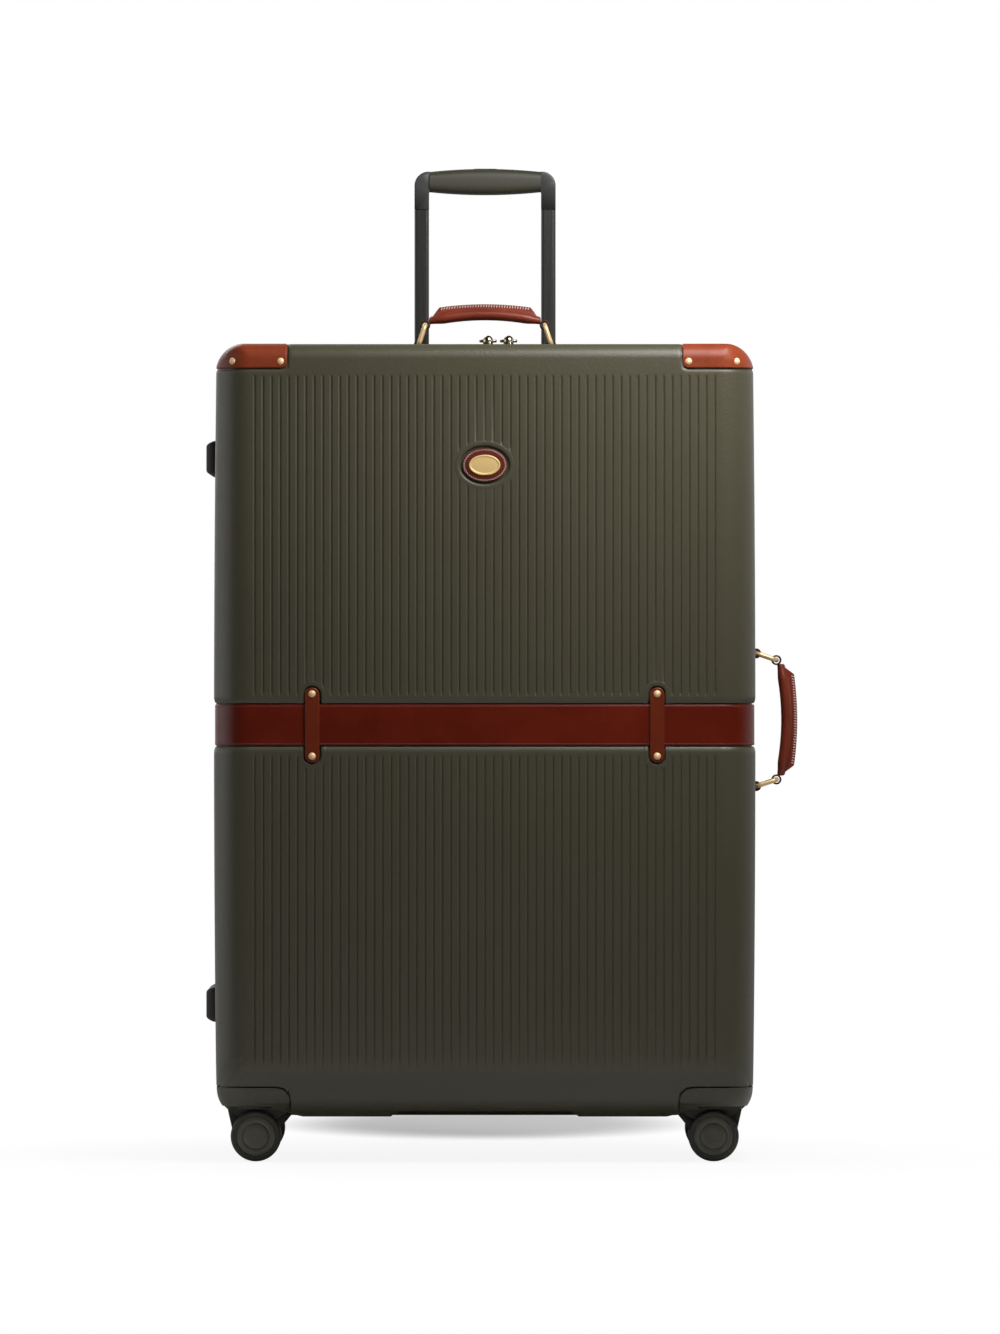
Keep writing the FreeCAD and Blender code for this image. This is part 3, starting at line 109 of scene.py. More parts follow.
def full_circle(count):
    """Angles evenly spread over a full turn, without the last one, which is the first again."""
    return np.linspace(0, FULL_TURN, count + 1)[:-1]


def lines(low, high, count, *spans):
    """Coordinates evenly spread from low to high, with closer ones in the given spans."""
    sets = [np.linspace(low, high, count)] + [np.linspace(*span) for span in spans]
    merged = np.unique(np.concatenate(sets).round(3))
    merged = merged[(merged >= low) & (merged <= high)]
    return merged[np.concatenate([[True], np.diff(merged) > LEAST_STEP])]


def half_width(z):
    """Half of the case's width at a height: the sides bow out by the crown between their ends."""
    return HALF_WIDTH - SIDE_CROWN * ((z - MIDDLE) / (TOP - MIDDLE)) ** 2


def rim_point(angle, centre_z):
    """A point of a rounded corner of the outline on +X, from its angle above level about the corner's
    centre."""
    z = centre_z + CORNER_ROUND * np.sin(angle)
    return np.stack([half_width(z) - CORNER_ROUND * (1 - np.cos(angle)), z], axis=-1)


class Round:
    """Lines that leave the face of a tray all round, from the middle of the bottom over +X. For each: where
    it leaves the flat face (inner), where it meets the outline (outer), which way the outline looks there
    (facing), and how deep the edge is rolled (roll)."""

    def __init__(self, x_lines, z_lines, fan):
        across = x_lines[x_lines >= 0]
        flat = np.ones_like(across)
        side_angle = np.arcsin(np.clip(z_lines - (TOP - CORNER_ROUND), 0, None) / CORNER_ROUND)
        side = np.stack([half_width(z_lines) - CORNER_ROUND * (1 - np.cos(side_angle)), z_lines], axis=-1)
        low_arc = np.linspace(-RIGHT_ANGLE, 0, fan)
        housing_edge = (HOUSING_TOP + HOUSING_EDGE[0], HOUSING_TOP + HOUSING_EDGE[1], EDGE_STEPS)
        low_side = lines(BOTTOM + CORNER_ROUND, FACE_LOW, fan, housing_edge)[1:-1]
        low_fan = np.concatenate([
            rim_point(low_arc, BOTTOM + CORNER_ROUND), np.stack([half_width(low_side), low_side], axis=-1)])
        high_angle = np.linspace(side_angle[-1], RIGHT_ANGLE, fan)[1:]
        high_fan = rim_point(high_angle, TOP - CORNER_ROUND)
        low_path = np.concatenate([[[FACE_X, BOTTOM]], low_fan, side[:1]])
        low_way = np.cumsum(np.linalg.norm(np.diff(low_path, axis=0), axis=1))
        low_share = smooth(low_way[:-1] / low_way[-1], 0, 1)
        high_share = smooth(np.arange(1, fan) / (fan - 1), 0, 1)
        self.outer = self.mirrored(
            np.stack([across, BOTTOM * flat], axis=-1), low_fan, side, high_fan,
            np.stack([across[::-1], TOP * flat], axis=-1))
        self.inner = self.mirrored(
            np.stack([across, FACE_LOW * flat], axis=-1), 0 * low_fan + [FACE_X, FACE_LOW],
            np.stack([0 * z_lines + FACE_X, z_lines], axis=-1), 0 * high_fan + [FACE_X, FACE_HIGH],
            np.stack([across[::-1], FACE_HIGH * flat], axis=-1))
        angle = np.concatenate([
            -RIGHT_ANGLE * flat, low_arc, 0 * low_side, side_angle, high_angle, RIGHT_ANGLE * flat])
        self.facing = self.mirrored(np.stack([np.cos(angle), np.sin(angle)], axis=-1))
        roll = np.concatenate([
            BOTTOM_ROLL * flat, BOTTOM_ROLL + (SIDE_ROLL - BOTTOM_ROLL) * low_share, 0 * z_lines + SIDE_ROLL,
            SIDE_ROLL + (TOP_ROLL - SIDE_ROLL) * high_share, TOP_ROLL * flat])
        self.roll = np.concatenate([roll, roll[-2:0:-1]])

    @staticmethod
    def mirrored(*runs):
        """The right-hand runs from the bottom's middle to the top's, then the left-hand ones back down."""
        right = np.concatenate(runs)
        return np.concatenate([right, right[-2:0:-1] * [-1, 1]])

    def placed(self, flat, depth, half):
        """Points from their place in X and Z and their depth behind the face of a half."""
        return np.stack([flat[..., 0], half * (FACE - depth), flat[..., 1]], axis=-1)

    def rolled(self, turns, inset, half):
        """Rows over the rolled edge: a quarter ellipse from inner to outer, set in by an inset. A row has one
        turn for all lines or one for each."""
        turns = turns.reshape(len(turns), -1)
        outer = self.outer - self.facing * (self.roll * 0 + inset)[:, None]
        flat = self.inner + (outer - self.inner) * np.sin(turns)[..., None]
        return self.placed(flat, inset + (self.roll - inset) * (1 - np.cos(turns)), half)

    def gathered(self, turns, nominal):
        """Turns for each line, drawn so that the nominal one falls where the line crosses the seam of a
        caster housing. Lines that never cross it keep their turns."""
        x, drop = np.abs(self.outer[:, 0]), self.inner[:, 1] - self.outer[:, 1]
        bend = np.clip(HOUSING_INNER + HOUSING_ROUND - x, 0, HOUSING_ROUND)
        seam = HOUSING_TOP - HOUSING_ROUND + np.sqrt(HOUSING_ROUND ** 2 - bend ** 2)
        share = (self.inner[:, 1] - seam) / np.clip(drop, LEAST_DROP, None)
        crossing = np.arcsin(np.clip(share, *CROSSING_SHARES))
        free = smooth(self.outer[:, 1], HOUSING_TOP + FREE_ABOVE, FACE_LOW)
        crossing = crossing + (nominal - crossing) * free
        turns = turns[:, None]
        after = crossing + (turns - nominal) * (RIGHT_ANGLE - crossing) / (RIGHT_ANGLE - nominal)
        return np.where(turns < nominal, turns * crossing / nominal, after)

    def wall(self, early, levels, inset, half):
        """Rows along the straight wall: shares of the way from the roll's end to a common depth, then levels,
        which are depths behind the face."""
        outer = self.outer - self.facing * (self.roll * 0 + inset)[:, None]
        depth = np.concatenate([
            self.roll + (ROLL_END - self.roll) * np.array(early)[:, None],
            np.array(levels)[:, None] + 0 * self.roll])
        return self.placed(np.repeat(outer[None], len(depth), axis=0), depth, half)


def grid_faces(rows, columns, closed=False):
    """Quads of a grid of points, row by row; closed joins the last column to the first."""
    row, column = np.meshgrid(np.arange(rows - 1), np.arange(columns - 1 + closed), indexing="ij")
    following = (column + 1) % columns
    quads = [row * columns + column, row * columns + following,
             (row + 1) * columns + following, (row + 1) * columns + column]
    return np.stack(quads, axis=-1).reshape(-1, 4)


def as_patch(points, closed=False, flip=False):
    """A grid of points as a flat list of points and its quads."""
    faces = grid_faces(points.shape[0], points.shape[1], closed)
    return points.reshape(-1, 3), faces[:, ::-1] if flip else faces


def joined(*patches):
    """Several lists of points and faces as one."""
    points = np.concatenate([patch[0] for patch in patches])
    starts = np.cumsum([0] + [len(patch[0]) for patch in patches[:-1]])
    return points, np.concatenate([patch[1] + start for patch, start in zip(patches, starts)])


def tray(face, skirt, half):
    """A face and the skirt round it as one patch that looks out of its half, or into the case where the other
    half is given."""
    return joined(as_patch(face, flip=half == REAR), as_patch(skirt, closed=True, flip=half == FRONT))


def welded(mesh, crease, gap=0.001):
    """Joins points that meet, which closes seams and poles, and keeps edges sharper than the crease sharp."""
    shape = bmesh.new()
    shape.from_mesh(mesh)
    bmesh.ops.remove_doubles(shape, verts=shape.verts, dist=gap * MM)
    bmesh.ops.dissolve_degenerate(shape, edges=shape.edges, dist=gap * MM)
    shape.to_mesh(mesh)
    shape.free()
    mesh.shade_smooth()
    mesh.set_sharp_from_angle(angle=math.radians(crease))


def make_piece(name, patch, finish, body, replaced=(), crease=40):
    """A mesh object from points in millimetres and quads, with its finish, the body that it rides on and the
    CAD nodes that it stands for."""
    points, faces = patch
    mesh = bpy.data.meshes.new(name)
    mesh.from_pydata(points * MM, [], faces)
    welded(mesh, crease)
    return dressed(name, mesh, finish, body, replaced)


def smoothed(node, finish, body, crease=32):
    """A welded copy of a rigid CAD node, shaded smooth between its sharp edges."""
    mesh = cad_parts[node].data.copy()
    welded(mesh, crease, gap=0.0005)
    return dressed(f"{node}_finished", mesh, finish, body, [node])


def dressed(name, mesh, finish, body, replaced):
    """An object in the scene from a mesh and its finish, put on its body, for its CAD nodes."""
    mesh.materials.clear()
    mesh.materials.append(finish.material)
    piece = bpy.data.objects.new(name, mesh)
    bpy.context.scene.collection.objects.link(piece)
    if body:
        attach(piece, body)
    if replaced:
        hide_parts(*replaced)
    return piece


class Shade:
    """One socket of a finish. Arithmetic on it adds Math nodes."""

    def __init__(self, finish, socket):
        self.finish = finish
        self.socket = socket

    def maths(self, operation, first, second):
        """One Math node on two values."""
        return self.finish.add("Math", {"operation": operation}, {0: first, 1: second})

    def __add__(self, other):
        return self.maths("ADD", self, other)

    def __sub__(self, other):
        return self.maths("SUBTRACT", self, other)

    def __rsub__(self, other):
        return self.maths("SUBTRACT", other, self)

    def __mul__(self, other):
        return self.maths("MULTIPLY", self, other)

    __radd__ = __add__
    __rmul__ = __mul__

    def wave(self, count):
        """A wave from -1 to 1, with that many full waves to each unit."""
        return self.maths("SINE", self * (FULL_TURN * count), 0.0)

    def about(self, middle, spread):
        """A value from 0 to 1 as one that varies by a spread about a middle."""
        return self * spread + (middle - spread / 2)

    def rise(self, start, end):
        """0 below start, 1 above end, smooth between."""
        return self.finish.add(
            "MapRange", {"interpolation_type": "SMOOTHSTEP"},
            {"Value": self, "From Min": start, "From Max": end})


def colour(red, green, blue):
    """A colour from its eight-bit sRGB values, in linear light."""
    share = np.array([red, green, blue]) / 255
    linear = np.where(share <= 0.04045, share / 12.92, ((share + 0.055) / 1.055) ** 2.4)
    return tuple(linear) + (1.0,)


class Nodes:
    """The nodes of a material or of the surround."""

    def __init__(self, tree):
        self.tree = tree

    def add(self, kind, settings=None, sockets=None, out=0):
        """Any node: its type, its settings, and the values or links of its sockets."""
        node = self.tree.nodes.new(f"ShaderNode{kind}")
        for setting, value in (settings or {}).items():
            setattr(node, setting, value)
        for key, value in (sockets or {}).items():
            self.feed(node.inputs[key], value)
        return Shade(self, node.outputs[out])

    def feed(self, socket, value):
        """Links a socket to a shade, or sets it to a plain value."""
        if isinstance(value, Shade):
            self.tree.links.new(value.socket, socket)
        else:
            socket.default_value = value


class Finish(Nodes):
    """A procedural material: one Principled shader and the nodes that feed it."""

    def __init__(self, name):
        self.material = bpy.data.materials.new(name)
        self.material.use_nodes = True
        super().__init__(self.material.node_tree)
        self.shader = self.tree.nodes["Principled BSDF"]
        self.place = self.add("TexCoord", out="Object")

    def give(self, sockets):
        """Feeds the shader's sockets by name and gives the finish back."""
        for name, value in sockets.items():
            self.feed(self.shader.inputs[name], value)
        return self

    def noise(self, scale, detail=3.0, roughness=0.5, place=None):
        """Soft noise from 0 to 1; scale is in features per metre."""
        return self.add("TexNoise", None, {
            "Vector": place or self.place, "Scale": scale, "Detail": detail, "Roughness": roughness})

    def cells(self, scale, place=None):
        """Distance to the nearest of scattered points, in cells."""
        return self.add("TexVoronoi", None, {"Vector": place or self.place, "Scale": scale})

    def stretched(self, x, y, z):
        """Object coordinates scaled along each axis, so that a pattern runs long one way."""
        return self.add("Mapping", None, {"Vector": self.place, "Scale": (x, y, z)})

    def axis(self, name):
        """One object coordinate, in metres."""
        return self.add("SeparateXYZ", None, {"Vector": self.place}, out=name)

    def mix(self, factor, first, second):
        """A colour between two others."""
        return self.add("Mix", {"data_type": "RGBA"}, {0: factor, 6: first, 7: second}, out=2)

    def bump(self, height, distance, strength=1.0):
        """A normal from a height map; distance is the height of 1, in millimetres."""
        return self.add("Bump", None, {"Height": height, "Distance": distance * MM, "Strength": strength})


PLASTIC_GLOSS = 0.5


def moulded_plastic(name, dark, light, roughness, grain=900.0, grain_height=0.03):
    """Satin plastic from a sandblasted mould: a pebbled grain, faint clouds of shade and rubbed spots."""
    finish = Finish(name)
    clouds = finish.noise(9.0, detail=4.0)
    pebble = finish.noise(grain, detail=2.0)
    rubbed = finish.noise(60.0, detail=5.0, roughness=0.6)
    return finish.give({
        "Base Color": finish.mix(clouds * 0.7 + pebble * 0.3, dark, light),
        "Roughness": rubbed.about(roughness, spread=0.12),
        "Specular IOR Level": PLASTIC_GLOSS,
        "Normal": finish.bump(pebble, grain_height),
    })


shell_plastic = moulded_plastic("olive_shell", colour(70, 67, 51), colour(77, 74, 57), 0.4, 500.0, 0.2)

badge_low, badge_high = node_box("badge_patch")
BADGE_LEVEL = (badge_low[2] + badge_high[2]) / 2
BADGE_HALF = (badge_high - badge_low)[[0, 2]] / 2
BADGE_GAP, BADGE_CLEAR, SEAT_COVER = 2.4, 6.0, 3.2
SEAM_DEPTH, SEAM_REACH, SEAM_WALL, SEAM_LIP = 3.2, 1.4, 0.22, 6.0
CAP_INNER, CAP_FOOT, CAP_ROUND, CAP_DEPTH = 185.5, 747.0, 6.0, 64.0
CAP_SUNK, CAP_GAP, CAP_LIP, CAP_LIP_FALL = 1.9, 1.4, 3.0, 0.6
CAP_FADE, CAP_FADE_REACH = 0.8, 2.5
KEEPER_X, KEEPER_HALF, KEEPER_LENGTH = 162.0, 6.8, 70.6
KEEPER_GAP, KEEPER_CLEAR = 1.3, 4.0


def badge_distance(x, z):
    """Distance outside the badge's oval, negative inside."""
    share = np.hypot(x / BADGE_HALF[0], (z - BADGE_LEVEL) / BADGE_HALF[1])
    return (share - 1) * BADGE_HALF.min()


def keeper_distance(x, z):
    """Distance outside the round-ended outline of a strap keeper, negative inside."""
    past_end = np.clip(np.abs(z - STRAP_LEVEL) - (KEEPER_LENGTH / 2 - KEEPER_HALF), 0, None)
    return np.hypot(np.abs(x) - KEEPER_X, past_end) - KEEPER_HALF


def relief(x, z, half):
    """How deep the grooves are pressed into the face: each is a round-bottomed bump function across X, faded
    out at its ends and round the keepers and badge, in two runs above and below the strap."""
    across = (x + GROOVE_PITCH / 2) % GROOVE_PITCH - GROOVE_PITCH / 2
    groove = np.clip(1 - (across / GROOVE_HALF) ** 2, 0, 1) ** 1.5
    groove *= np.abs(x) < GROOVE_PITCH * GROOVES / 2
    from_strap = np.abs(z - STRAP_LEVEL)
    groove *= smooth(from_strap, GROOVE_STRAP_GAP, GROOVE_STRAP_GAP + GROOVE_FADE)
    groove *= smooth(-z, -GROOVE_TOP, GROOVE_FADE - GROOVE_TOP)
    groove *= smooth(z, GROOVE_FOOT, GROOVE_FOOT + GROOVE_FADE)
    groove *= smooth(keeper_distance(x, z), KEEPER_CLEAR, KEEPER_CLEAR + GROOVE_FADE)
    if half == FRONT:
        groove *= smooth(badge_distance(x, z), BADGE_CLEAR, BADGE_CLEAR + GROOVE_FADE)
    return GROOVE_DEPTH * groove


def channel(z):
    """Depth of the strap's channel at a height: steep walls below a lip that curves down to them."""
    past_wall = np.abs(z - STRAP_LEVEL) - CHANNEL_HALF
    return lip(z) + (CHANNEL_DEPTH - LIP_FALL) * smooth(-past_wall, *CHANNEL_WALL)


def lip(z):
    """How far the face has curved down towards the channel at a height, as a square of the nearness."""
    past_wall = np.abs(z - STRAP_LEVEL) - CHANNEL_HALF
    return LIP_FALL * np.clip(1 - past_wall / LIP_REACH, 0, 1) ** 2


def rounded_corner(first, second, radius):
    """Distance inside a corner between two sides, from the distances inside each, with the corner rounded."""
    short = np.hypot(np.clip(radius - first, 0, None), np.clip(radius - second, 0, None))
    return np.where((first < radius) & (second < radius), radius - short, np.minimum(first, second))


def housing_distance(points):
    """Distance inside the corner that a caster housing takes, negative outside it."""
    x, y, z = np.abs(points[..., 0]), np.abs(points[..., 1]), points[..., 2]
    return np.minimum(rounded_corner(x - HOUSING_INNER, HOUSING_TOP - z, HOUSING_ROUND), y - HOUSING_NEAR)


def swivel_distance(points):
    """Distance from the upright line that the nearest caster turns about, for points low on the case."""
    distance = np.linalg.norm(np.abs(points[..., :2]) - SWIVEL, axis=-1)
    return np.where(points[..., 2] < HOUSING_TOP, distance, np.inf)


def open_wells(skirt):
    """Draws points of the bottom that a turning caster would sweep out to the edge of its well, along the
    roll."""
    swept = swivel_distance(skirt) < WELL_RADIUS
    off = np.abs(skirt[swept, :2]) - SWIVEL
    off *= WELL_RADIUS / np.linalg.norm(off, axis=-1, keepdims=True)
    skirt[swept, :2] = np.sign(skirt[swept, :2]) * (SWIVEL + off)
    left = np.clip(np.abs(skirt[swept, 1]) - FACE + BOTTOM_ROLL, 0, BOTTOM_ROLL)
    skirt[swept, 2] = FACE_LOW - np.sqrt(BOTTOM_ROLL ** 2 - left ** 2)


def cap_distance(points):
    """Distance inside the seat of a leather corner cap, negative outside it."""
    x, y, z = np.abs(points[..., 0]), np.abs(points[..., 1]), points[..., 2]
    return np.minimum(rounded_corner(x - CAP_INNER, z - CAP_FOOT, CAP_ROUND), y - (FACE - CAP_DEPTH))


def cap_press(points):
    """How far the shell is pressed in for a corner cap: a lip that curves down to its seat, then the seat,
    both much shallower on top of the case."""
    inside = cap_distance(points) + CAP_GAP
    lip_share = np.clip(1 + inside / CAP_LIP, 0, 1) ** 2
    press = CAP_LIP_FALL * lip_share + (CAP_SUNK - CAP_LIP_FALL) * smooth(inside, 0, SEAM_WALL)
    return press * (1 - CAP_FADE * smooth(points[..., 2], TOP - CAP_FADE_REACH, TOP))


def outward(grid, half):
    """Which way a closed grid of Round rows looks, from its neighbours; the first row lies in the face."""
    along = np.roll(grid, -1, axis=1) - np.roll(grid, 1, axis=1)
    facing = half * np.cross(along, np.gradient(grid, axis=0))
    facing /= np.linalg.norm(facing, axis=-1, keepdims=True) + TINY
    facing[0] = (0, half, 0)
    return facing


GROOVE_SHARES = np.array([-1.4, -1, -0.5, 0, 0.5, 1, 1.4])
CAP_FINE, WALL_FINE, KEEPER_FINE, BADGE_FINE = (-4.5, -1.5, 0.5), (0.3, 0.6), 5, 6
groove_steps = np.append(GROOVE_HALF * GROOVE_SHARES, GROOVE_PITCH / 2)
groove_lines = (GROOVE_PITCH * (np.arange(GROOVES) - GROOVES // 2)[:, None] + groove_steps).ravel()
seam_steps = np.array([-1.9, -1.45, -1.15, 0.1])
lip_steps = np.array([-4.4, -3.3, -2.5])
seam_lines = np.concatenate([
    HOUSING_INNER + seam_steps, CAP_INNER + seam_steps, CAP_INNER + lip_steps, [FACE_X]])
strap_foot, strap_head = STRAP_LEVEL - CHANNEL_HALF, STRAP_LEVEL + CHANNEL_HALF
keeper_foot, keeper_head = STRAP_LEVEL - KEEPER_LENGTH / 2, STRAP_LEVEL + KEEPER_LENGTH / 2
face_spans = [
    (GROOVE_TOP - GROOVE_FADE, GROOVE_TOP, 4),
    (CAP_FOOT + CAP_FINE[1], CAP_FOOT + CAP_FINE[2], 5), (CAP_FOOT + CAP_FINE[0], CAP_FOOT + CAP_FINE[1], 5),
    (strap_foot - WALL_FINE[0], strap_foot + WALL_FINE[1], 6),
    (strap_head - WALL_FINE[1], strap_head + WALL_FINE[0], 6),
    (keeper_foot - KEEPER_FINE, strap_foot, 14), (strap_head, keeper_head + KEEPER_FINE, 14)]
badge_span = (badge_low[2] - BADGE_FINE, badge_high[2] + BADGE_FINE, 25)
SEAM_DEGREES = 31.1
SEAM_TURN = math.radians(SEAM_DEGREES)
roll_turns = np.radians([
    0, 4, 8, 13, 19, 25, 28.4, 29.5, 29.8, SEAM_DEGREES, 31.8, 34, 38, 45, 53, 61, 69, 76, 83, 90])
bezel_low, bezel_high = node_box("trolley_bezel")
lock_low, lock_high = node_box("lock_body")
BEZEL_COVER, LOCK_COVER = 4.0, 1.5
BEZEL_CUT = (bezel_high[0] - BEZEL_COVER, bezel_low[1] + BEZEL_COVER, bezel_high[1] - BEZEL_COVER)
LOCK_CUT = (lock_low[0] + LOCK_COVER, lock_high[0] - LOCK_COVER, lock_low[1] + LOCK_COVER,
            lock_high[1] - LOCK_COVER)
RIM_ROUND, RIM_LIP, NEAR_FACE, NOTCH_EDGE = 0.6, 16, 4, 1
RIM_DEPTH, LIP_DEPTH = FACE - RIM, FACE - RIM_LIP
WALL_SHARES = [0.12, 0.35, 0.6, 0.8, 1.0]
WALL_LEVELS = [
    62.9, 64.3, 65.1, 65.45, 66.4, 67.4, 68.5, 76.0, 85.0, 95.0, 106.8, 108.6, 108.95, 130.0,
    RIM_DEPTH - RIM_ROUND]

for half, word, body in HALVES:
    early, levels = WALL_SHARES, WALL_LEVELS
    spans, cuts = face_spans + [badge_span], []
    if half == REAR:
        early = sorted(early + [(FACE - y - TOP_ROLL) / (ROLL_END - TOP_ROLL) for y in BEZEL_CUT[1:]])
        levels = sorted(levels + [FACE - y for y in LOCK_CUT[2:]])
        spans, cuts = face_spans, [BEZEL_CUT[0], LOCK_CUT[0], LOCK_CUT[1]]
    x_lines = np.concatenate([groove_lines, seam_lines, cuts])
    x_lines = np.unique(np.concatenate([x_lines, -x_lines]).round(3))
    x_lines = x_lines[np.abs(x_lines) <= FACE_X]
    z_lines = lines(FACE_LOW, FACE_HIGH, 18, *spans)
    edge = Round(x_lines, z_lines, fan=22)
    sunk = channel(edge.outer[:, 1])
    skirt = np.concatenate([
        edge.rolled(edge.gathered(roll_turns, SEAM_TURN), sunk, half), edge.wall(early, levels, sunk, half),
        edge.wall([], [RIM_DEPTH], sunk + RIM_ROUND, half), edge.wall([], [RIM_DEPTH], sunk + WALL, half),
        edge.wall([], [LIP_DEPTH], sunk + WALL, half)])
    near_face = np.abs(skirt[..., 1]) > FACE - NEAR_FACE
    skirt[..., 1] -= half * relief(skirt[..., 0], skirt[..., 2], half) * near_face
    across, up = np.meshgrid(x_lines, z_lines)
    face = np.stack([across, half * (FACE - channel(up) - relief(across, up, half)), up], axis=-1)
    face[..., 1] -= half * cap_press(face)
    arch = NOTCH_RISE * np.clip((NOTCH_HALF + NOTCH_SLOPE - np.abs(skirt[..., 0])) / NOTCH_SLOPE, 0, 1)
    arch *= smooth(np.abs(skirt[..., 1]), NOTCH_NEAR - NOTCH_EDGE, NOTCH_NEAR)
    skirt[..., 2] = np.maximum(skirt[..., 2], BOTTOM + arch)
    pressed = SEAM_DEPTH * smooth(housing_distance(skirt), -SEAM_REACH, SEAM_WALL - SEAM_REACH)
    pressed += cap_press(skirt)
    skirt -= outward(skirt, half) * pressed[..., None]
    open_wells(skirt)

    points, faces = tray(face, skirt, half)
    corners = points[faces]
    x, y, z = corners[..., 0], corners[..., 1], corners[..., 2]
    hidden = housing_distance(corners).min(axis=1) > SEAM_LIP
    hidden |= swivel_distance(corners).max(axis=1) < WELL_RADIUS + NEAR
    on_face = np.abs(y).min(axis=1) > FACE - CHANNEL_DEPTH / 2
    hidden |= on_face & (keeper_distance(x, z).max(axis=1) < SEAT_COVER)
    if half == FRONT:
        hidden |= on_face & (badge_distance(x, z).max(axis=1) < BADGE_GAP + SEAT_COVER)
    if half == REAR:
        cut = (np.abs(x) < BEZEL_CUT[0] + NEAR) & (y > BEZEL_CUT[1] - NEAR) & (y < BEZEL_CUT[2] + NEAR)
        lock = (x > LOCK_CUT[0] - NEAR) & (x < LOCK_CUT[1] + NEAR)
        lock &= (y > LOCK_CUT[2] - NEAR) & (y < LOCK_CUT[3] + NEAR)
        hidden |= ((cut | lock) & (z > FACE_HIGH)).all(axis=1)
    make_piece(
        f"{word}_shell_skin", (points, faces[~hidden]), shell_plastic, body, [f"{word}_shell"],
        crease=50)

# Seats in the face: the shell is pressed in round each end of a strap keeper and round the badge, with a
# small rolled lip, so that the leather lies sunk with a dark gap about it.

SEAT_PROFILE = np.array([
    (5.2, -0.3), (4.5, 0.02), (3.0, 0.04), (2.0, 0.02), (1.4, -0.06), (0.9, -0.2), (0.5, -0.42), (0.2, -0.7),
    (0.05, -1.0), (0.0, -1.6), (-0.2, -2.1), (-0.6, -2.3), (-3.4, -2.3)])
ARC_STEPS, SIDE_STEPS, CHANNEL_LAP = 25, 8, 0.2
round_angle = full_circle(96)


def seat(outline, half):
    """A lip carried along an outline: offsets outwards and heights above the face, from far outside to the
    floor. The outline is a function of the offset that gives points in X and Z."""
    grid = np.stack([outline(offset) for offset in SEAT_PROFILE[:, 0]])
    height = FACE - lip(grid[..., 1]) + SEAT_PROFILE[:, 1:]
    return np.stack([grid[..., 0], half * height, grid[..., 1]], axis=-1)


def oval(half_sizes, inset, angle=round_angle):
    """Points of an oval shrunk by an inset, in X and Z about its middle."""
    size = half_sizes - inset
    return np.stack([size[0] * np.cos(angle), size[1] * np.sin(angle)], axis=-1)


def round_badge(offset):
    """The badge's oval, grown by its gap and an offset."""
    return oval(BADGE_HALF + BADGE_GAP, -offset) + [0, BADGE_LEVEL]


def round_keeper(hand, end):
    """One end of a keeper's outline as a function of the offset: up a side from the strap's channel, round
    the end, and down the other side."""
    arc = np.linspace(0, math.pi, ARC_STEPS)
    turn = np.concatenate([np.zeros(SIDE_STEPS), arc, np.full(SIDE_STEPS, math.pi)])
    reach = KEEPER_LENGTH / 2 - KEEPER_HALF
    side = np.linspace(CHANNEL_HALF - CHANNEL_LAP, reach, SIDE_STEPS + 1)
    centre = np.concatenate([side[:-1], np.full(ARC_STEPS, reach), side[-2::-1]])

    def outline(offset):
        """Points of the end, with its gap, at an offset outwards."""
        radius = KEEPER_HALF + KEEPER_GAP + offset
        x = hand * KEEPER_X + end * radius * np.cos(turn)
        return np.stack([x, STRAP_LEVEL + end * (centre + radius * np.sin(turn))], axis=-1)

    return outline


for half, word, body in HALVES:
    lips = [
        as_patch(seat(round_keeper(hand, end), half), flip=half == REAR)
        for hand in (LEFT, RIGHT) for end in (LOWER, UPPER)]
    if half == FRONT:
        lips.append(as_patch(seat(round_badge, half), closed=True))
    make_piece(f"{word}_shell_seats", joined(*lips), shell_plastic, body, crease=50)

# Corner caps: stout brown leather moulded over both top corners of each half, lying in a shallow seat and
# riveted through the shell. Their cut edges roll down into the seat.

CAP_PROUD, CAP_EDGE, CAP_UNDER = 0.4, 1.2, 0.3
CAP_MARGIN, CAP_FINE_REACH, CAP_KEPT = 1, 7, -0.95
CAP_SHARES, CAP_LEVELS = [0.25, 0.5, 0.75, 1.0], [62.4, 63.0, 63.4, 63.8, 64.2, 64.8]
LEATHER_GLOSS, POLISH_ROUGHNESS = 0.2, 0.3


def leather(name, dark, light, roughness, coat, pore=1100.0):
    """Dressed leather: fine pores, soft creases, clouds of darker and lighter stain, and a thin polish."""
    finish = Finish(name)
    stain = finish.noise(16.0, detail=5.0, roughness=0.55)
    crease = finish.noise(320.0, detail=5.0, roughness=0.65)
    return finish.give({
        "Base Color": finish.mix((stain * 0.8 + crease * 0.2).rise(0.3, 0.7), dark, light),
        "Roughness": crease.about(roughness, spread=0.16),
        "Coat Weight": stain * coat,
        "Coat Roughness": POLISH_ROUGHNESS,
        "Specular IOR Level": LEATHER_GLOSS,
        "Normal": finish.bump(finish.cells(pore) * 0.4 + crease * 0.6, distance=0.05),
    })


trim_leather = leather("trim_leather", colour(118, 48, 24), colour(142, 62, 35), 0.42, 0.35)


def edge_rise(distance, width):
    """A quarter-round edge: 0 at the cut edge, 1 where the leather has its full height."""
    return np.sqrt(np.clip(1 - (1 - np.clip(distance / width, 0, 1)) ** 2, 0, 1))


def cap_height(points):
    """How far a cap stands over the shell's skin: a quarter-round edge that starts below the seat."""
    fall = CAP_SUNK + CAP_PROUD + CAP_UNDER
    return fall * edge_rise(cap_distance(points), CAP_EDGE) - CAP_SUNK - CAP_UNDER


